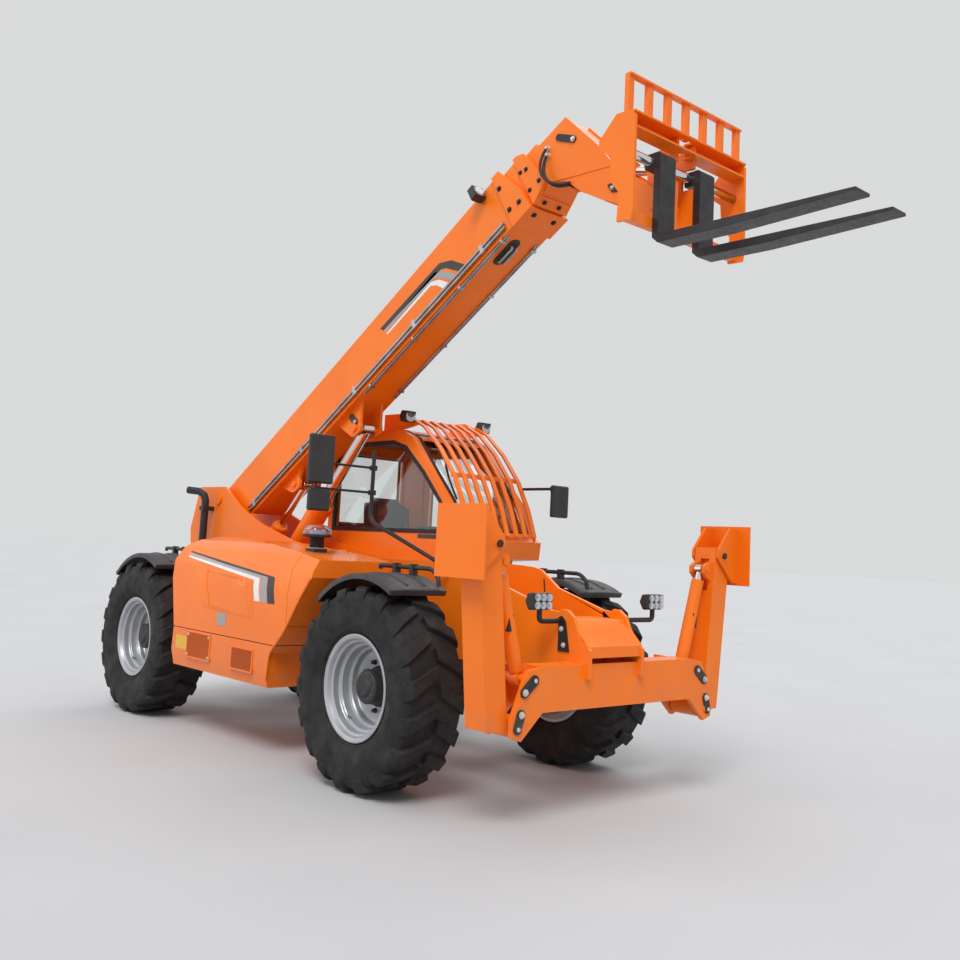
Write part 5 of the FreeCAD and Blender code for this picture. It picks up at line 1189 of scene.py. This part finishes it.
def build_seat():
    """Suspension box, and a crowned cushion and backrest with side bolsters."""
    body = body_of("driver_seat")
    box = Shape().use(black_plastic)
    box.block((-1970, -1570), (SEAT_MIDDLE - 180, SEAT_MIDDLE + 180), (962, 1168))
    for level in (1000, 1040, 1080, 1120):
        box.block((-1976, -1564), (SEAT_MIDDLE - 186, SEAT_MIDDLE + 186), (level, level + 16))
    box.done("seat_box", body, "plastic_dark", "driver_seat", bevel=4)
    cushion = ((-2000, 1185), (-1510, 1185), (-1500, 1250), (-1530, 1300), (-1990, 1285))
    thigh = ((-2000, 1185), (-1520, 1185), (-1510, 1270), (-1560, 1322), (-1990, 1308))
    back = ((-2006, 1300), (-1905, 1300), (-1968, 1900), (-2050, 1950), (-2060, 1900))
    wing = ((-2006, 1310), (-1885, 1310), (-1950, 1860), (-2050, 1900))
    for label, outline, low, high in (
            ("cushion", cushion, -165, 165), ("cushion_right", thigh, -238, -165),
            ("cushion_left", thigh, 165, 238), ("back", back, -150, 150),
            ("back_right", wing, -225, -150), ("back_left", wing, 150, 225)):
        pad = Shape().use(seat_cloth)
        pad.prism("Y", outline, SEAT_MIDDLE + low, SEAT_MIDDLE + high)
        piece = pad.done(f"seat_{label}", body, "fabric", bevel=26, segments=5)


def build_mirror(name, y, z, back, replaced):
    """A rounded case with its glass on the rear face."""
    body = body_of("mirrors")
    case = Shape().use(black_plastic)
    case.block((back, back + 39), y, z)
    case.done(f"mirror_case_{name}", body, "plastic_dark", *replaced, bevel=16, segments=4)
    pane = Shape().use(mirror_glass)
    pane.block((back - 1.5, back + 3), (y[0] + 15, y[1] - 15), (z[0] + 15, z[1] - 15))
    pane.done(f"mirror_pane_{name}", body, None, bevel=1.5)


def build_mirror_posts():
    """The right mirrors' post and its two arms with their clamps, and the left mirror's arm."""
    x = -725
    y = -500
    far = -985
    post = Shape().use(black_paint)
    post.block((0, 40), (-450.3, -340.3), (1403, 1415))
    post.tube([(20, -445, 1409), (20, -465, 1442), (x, y, 1700), (x, y, 2210)], 15, 70, 16)
    for level in (1905, 2085):
        post.tube([(x, y, level), (x, far - 5, level)], 9, 0, 12)
        post.block((x - 20, x + 20), (y - 22, y + 22), (level - 18, level + 18))
        post.block((x - 16, x + 16), (far - 15, far + 23), (level - 14, level + 14))
    post.tube([(x, far, 1790), (x, far, 2210)], 9, 0, 12)
    post.block((-710, -330), (960, 972), (2030, 2052))
    post.disc((-328, 966, 2041), "Z", 16, -22, 22, 16)
    post.done("mirror_posts", body_of("mirrors"), "paint_black", bevel=1.5)


def build_roof_lamp(name, y):
    body = body_of("roof_lamps")
    centre = (-1199, y, 2581)
    bowl = Shape().use(lamp_white)
    bowl.turned(centre, "X", ((-8, 0.01), (-8, 44), (4, 46), (6, 43), (2, 30), (0, 0.01)), 32)
    bowl.done(f"roof_lamp_bowl_{name}", body, None, angle=35)
    lens = Shape().use(lens_glass)
    lens.disc(centre, "X", 42, 5, 9, 32)
    lens.done(f"roof_lamp_lens_{name}", body, "glass", angle=35)


build_side_window_seal()
build_door_fittings()
build_rear_window_seal()
build_windscreen_seal()
build_wiper()
build_lining()
build_seat()
build_mirror("large", (-1070, -862), (1935, 2280), -727, ("mirrors",))
build_mirror("small", (-1055, -877), (1745, 1900), -727, ())
build_mirror("left", (962, 1148), (1817, 2073), -349, ())
build_mirror_posts()
build_roof_lamp("right", 179.7)
build_roof_lamp("left", 1010.3)

# Floor, light and camera

FLOOR_REACH = 150.0


def build_floor():
    corners = [(x * FLOOR_REACH, y * FLOOR_REACH, 0) for x, y in ((-1, -1), (1, -1), (1, 1), (-1, 1))]
    mesh = bpy.data.meshes.new("floor")
    mesh.from_pydata(corners, [], [(0, 1, 2, 3)])
    finish, tree, shader, place = new_finish("floor_finish")
    drift = spread(tree, noise(tree, place, 0.6, 3), 0, 1)
    grey = blend_colours(tree, drift, (0.54, 0.54, 0.55), (0.52, 0.52, 0.53))
    tree.links.new(grey, shader.inputs["Base Color"])
    shader.inputs["Roughness"].default_value = 0.8
    mesh.materials.append(finish)
    floor = bpy.data.objects.new("floor", mesh)
    bpy.context.scene.collection.objects.link(floor)


def build_light():
    """An even overcast: three soft suns, and a sky brighter overhead than at its edge; the camera sees a
    plain grey one."""
    world = bpy.data.worlds.new("studio")
    bpy.context.scene.world = world
    world.use_nodes = True
    tree = world.node_tree
    soft = tree.nodes["Background"]
    direction = tree.nodes.new("ShaderNodeTexCoord")
    parts = tree.nodes.new("ShaderNodeSeparateXYZ")
    tree.links.new(direction.outputs["Generated"], parts.inputs["Vector"])
    height = spread(tree, parts.outputs["Z"], 0.0, 1.0, -0.05, 0.9)
    tree.links.new(blend_colours(tree, height, (0.42, 0.43, 0.44), (0.96, 0.98, 1.0)), soft.inputs["Color"])
    soft.inputs["Strength"].default_value = 0.85
    seen = tree.nodes.new("ShaderNodeBackground")
    seen.inputs["Color"].default_value = (0.70, 0.705, 0.71, 1)
    seen.inputs["Strength"].default_value = 1.0
    ray = tree.nodes.new("ShaderNodeLightPath")
    chosen = ray.outputs["Is Camera Ray"]
    for other in ("Is Glossy Ray", "Is Transmission Ray"):
        either = tree.nodes.new("ShaderNodeMath")
        either.operation = "MAXIMUM"
        tree.links.new(chosen, either.inputs[0])
        tree.links.new(ray.outputs[other], either.inputs[1])
        chosen = either.outputs["Value"]
    mix = tree.nodes.new("ShaderNodeMixShader")
    tree.links.new(chosen, mix.inputs["Fac"])
    tree.links.new(soft.outputs["Background"], mix.inputs[1])
    tree.links.new(seen.outputs["Background"], mix.inputs[2])
    tree.links.new(mix.outputs["Shader"], tree.nodes["World Output"].inputs["Surface"])
    for name, place, spread_angle, power in (
            ("key", (4.5, -5.5, 8.5), 24, 1.75), ("fill", (-5.0, -6.0, 4.0), 60, 0.35),
            ("back", (-3.0, 7.0, 7.0), 40, 0.45)):
        lamp = bpy.data.lights.new(name, "SUN")
        lamp.angle = math.radians(spread_angle)
        lamp.energy = power
        holder = bpy.data.objects.new(name, lamp)
        holder.location = place
        holder.rotation_euler = (-Vector(place)).to_track_quat("-Z", "Y").to_euler()
        bpy.context.scene.collection.objects.link(holder)
    bpy.context.scene.view_settings.view_transform = "Standard"


def build_camera():
    """The photograph's own viewpoint, solved from the wheels, the boom and the cab."""
    yaw = math.radians(138.36)
    pitch = math.radians(6.70)
    roll = math.radians(2.99)
    ahead = Vector((math.cos(pitch) * math.cos(yaw), math.cos(pitch) * math.sin(yaw), math.sin(pitch)))
    right = ahead.cross(Vector((0, 0, 1))).normalized()
    up = right.cross(ahead)
    turned_right = right * math.cos(roll) + up * math.sin(roll)
    turned_up = up * math.cos(roll) - right * math.sin(roll)
    lens = bpy.data.cameras.new("camera")
    lens.sensor_width = 36
    lens.lens = 38.52
    lens.shift_y = -0.0552
    lens.clip_end = 300
    camera = bpy.data.objects.new("camera", lens)
    turn = Matrix((turned_right, turned_up, -ahead)).transposed().to_4x4()
    camera.matrix_world = Matrix.Translation(in_metres(5376.6, -4907.5, 1547.6)) @ turn
    bpy.context.scene.collection.objects.link(camera)
    bpy.context.scene.camera = camera


build_floor()
build_light()
build_camera()
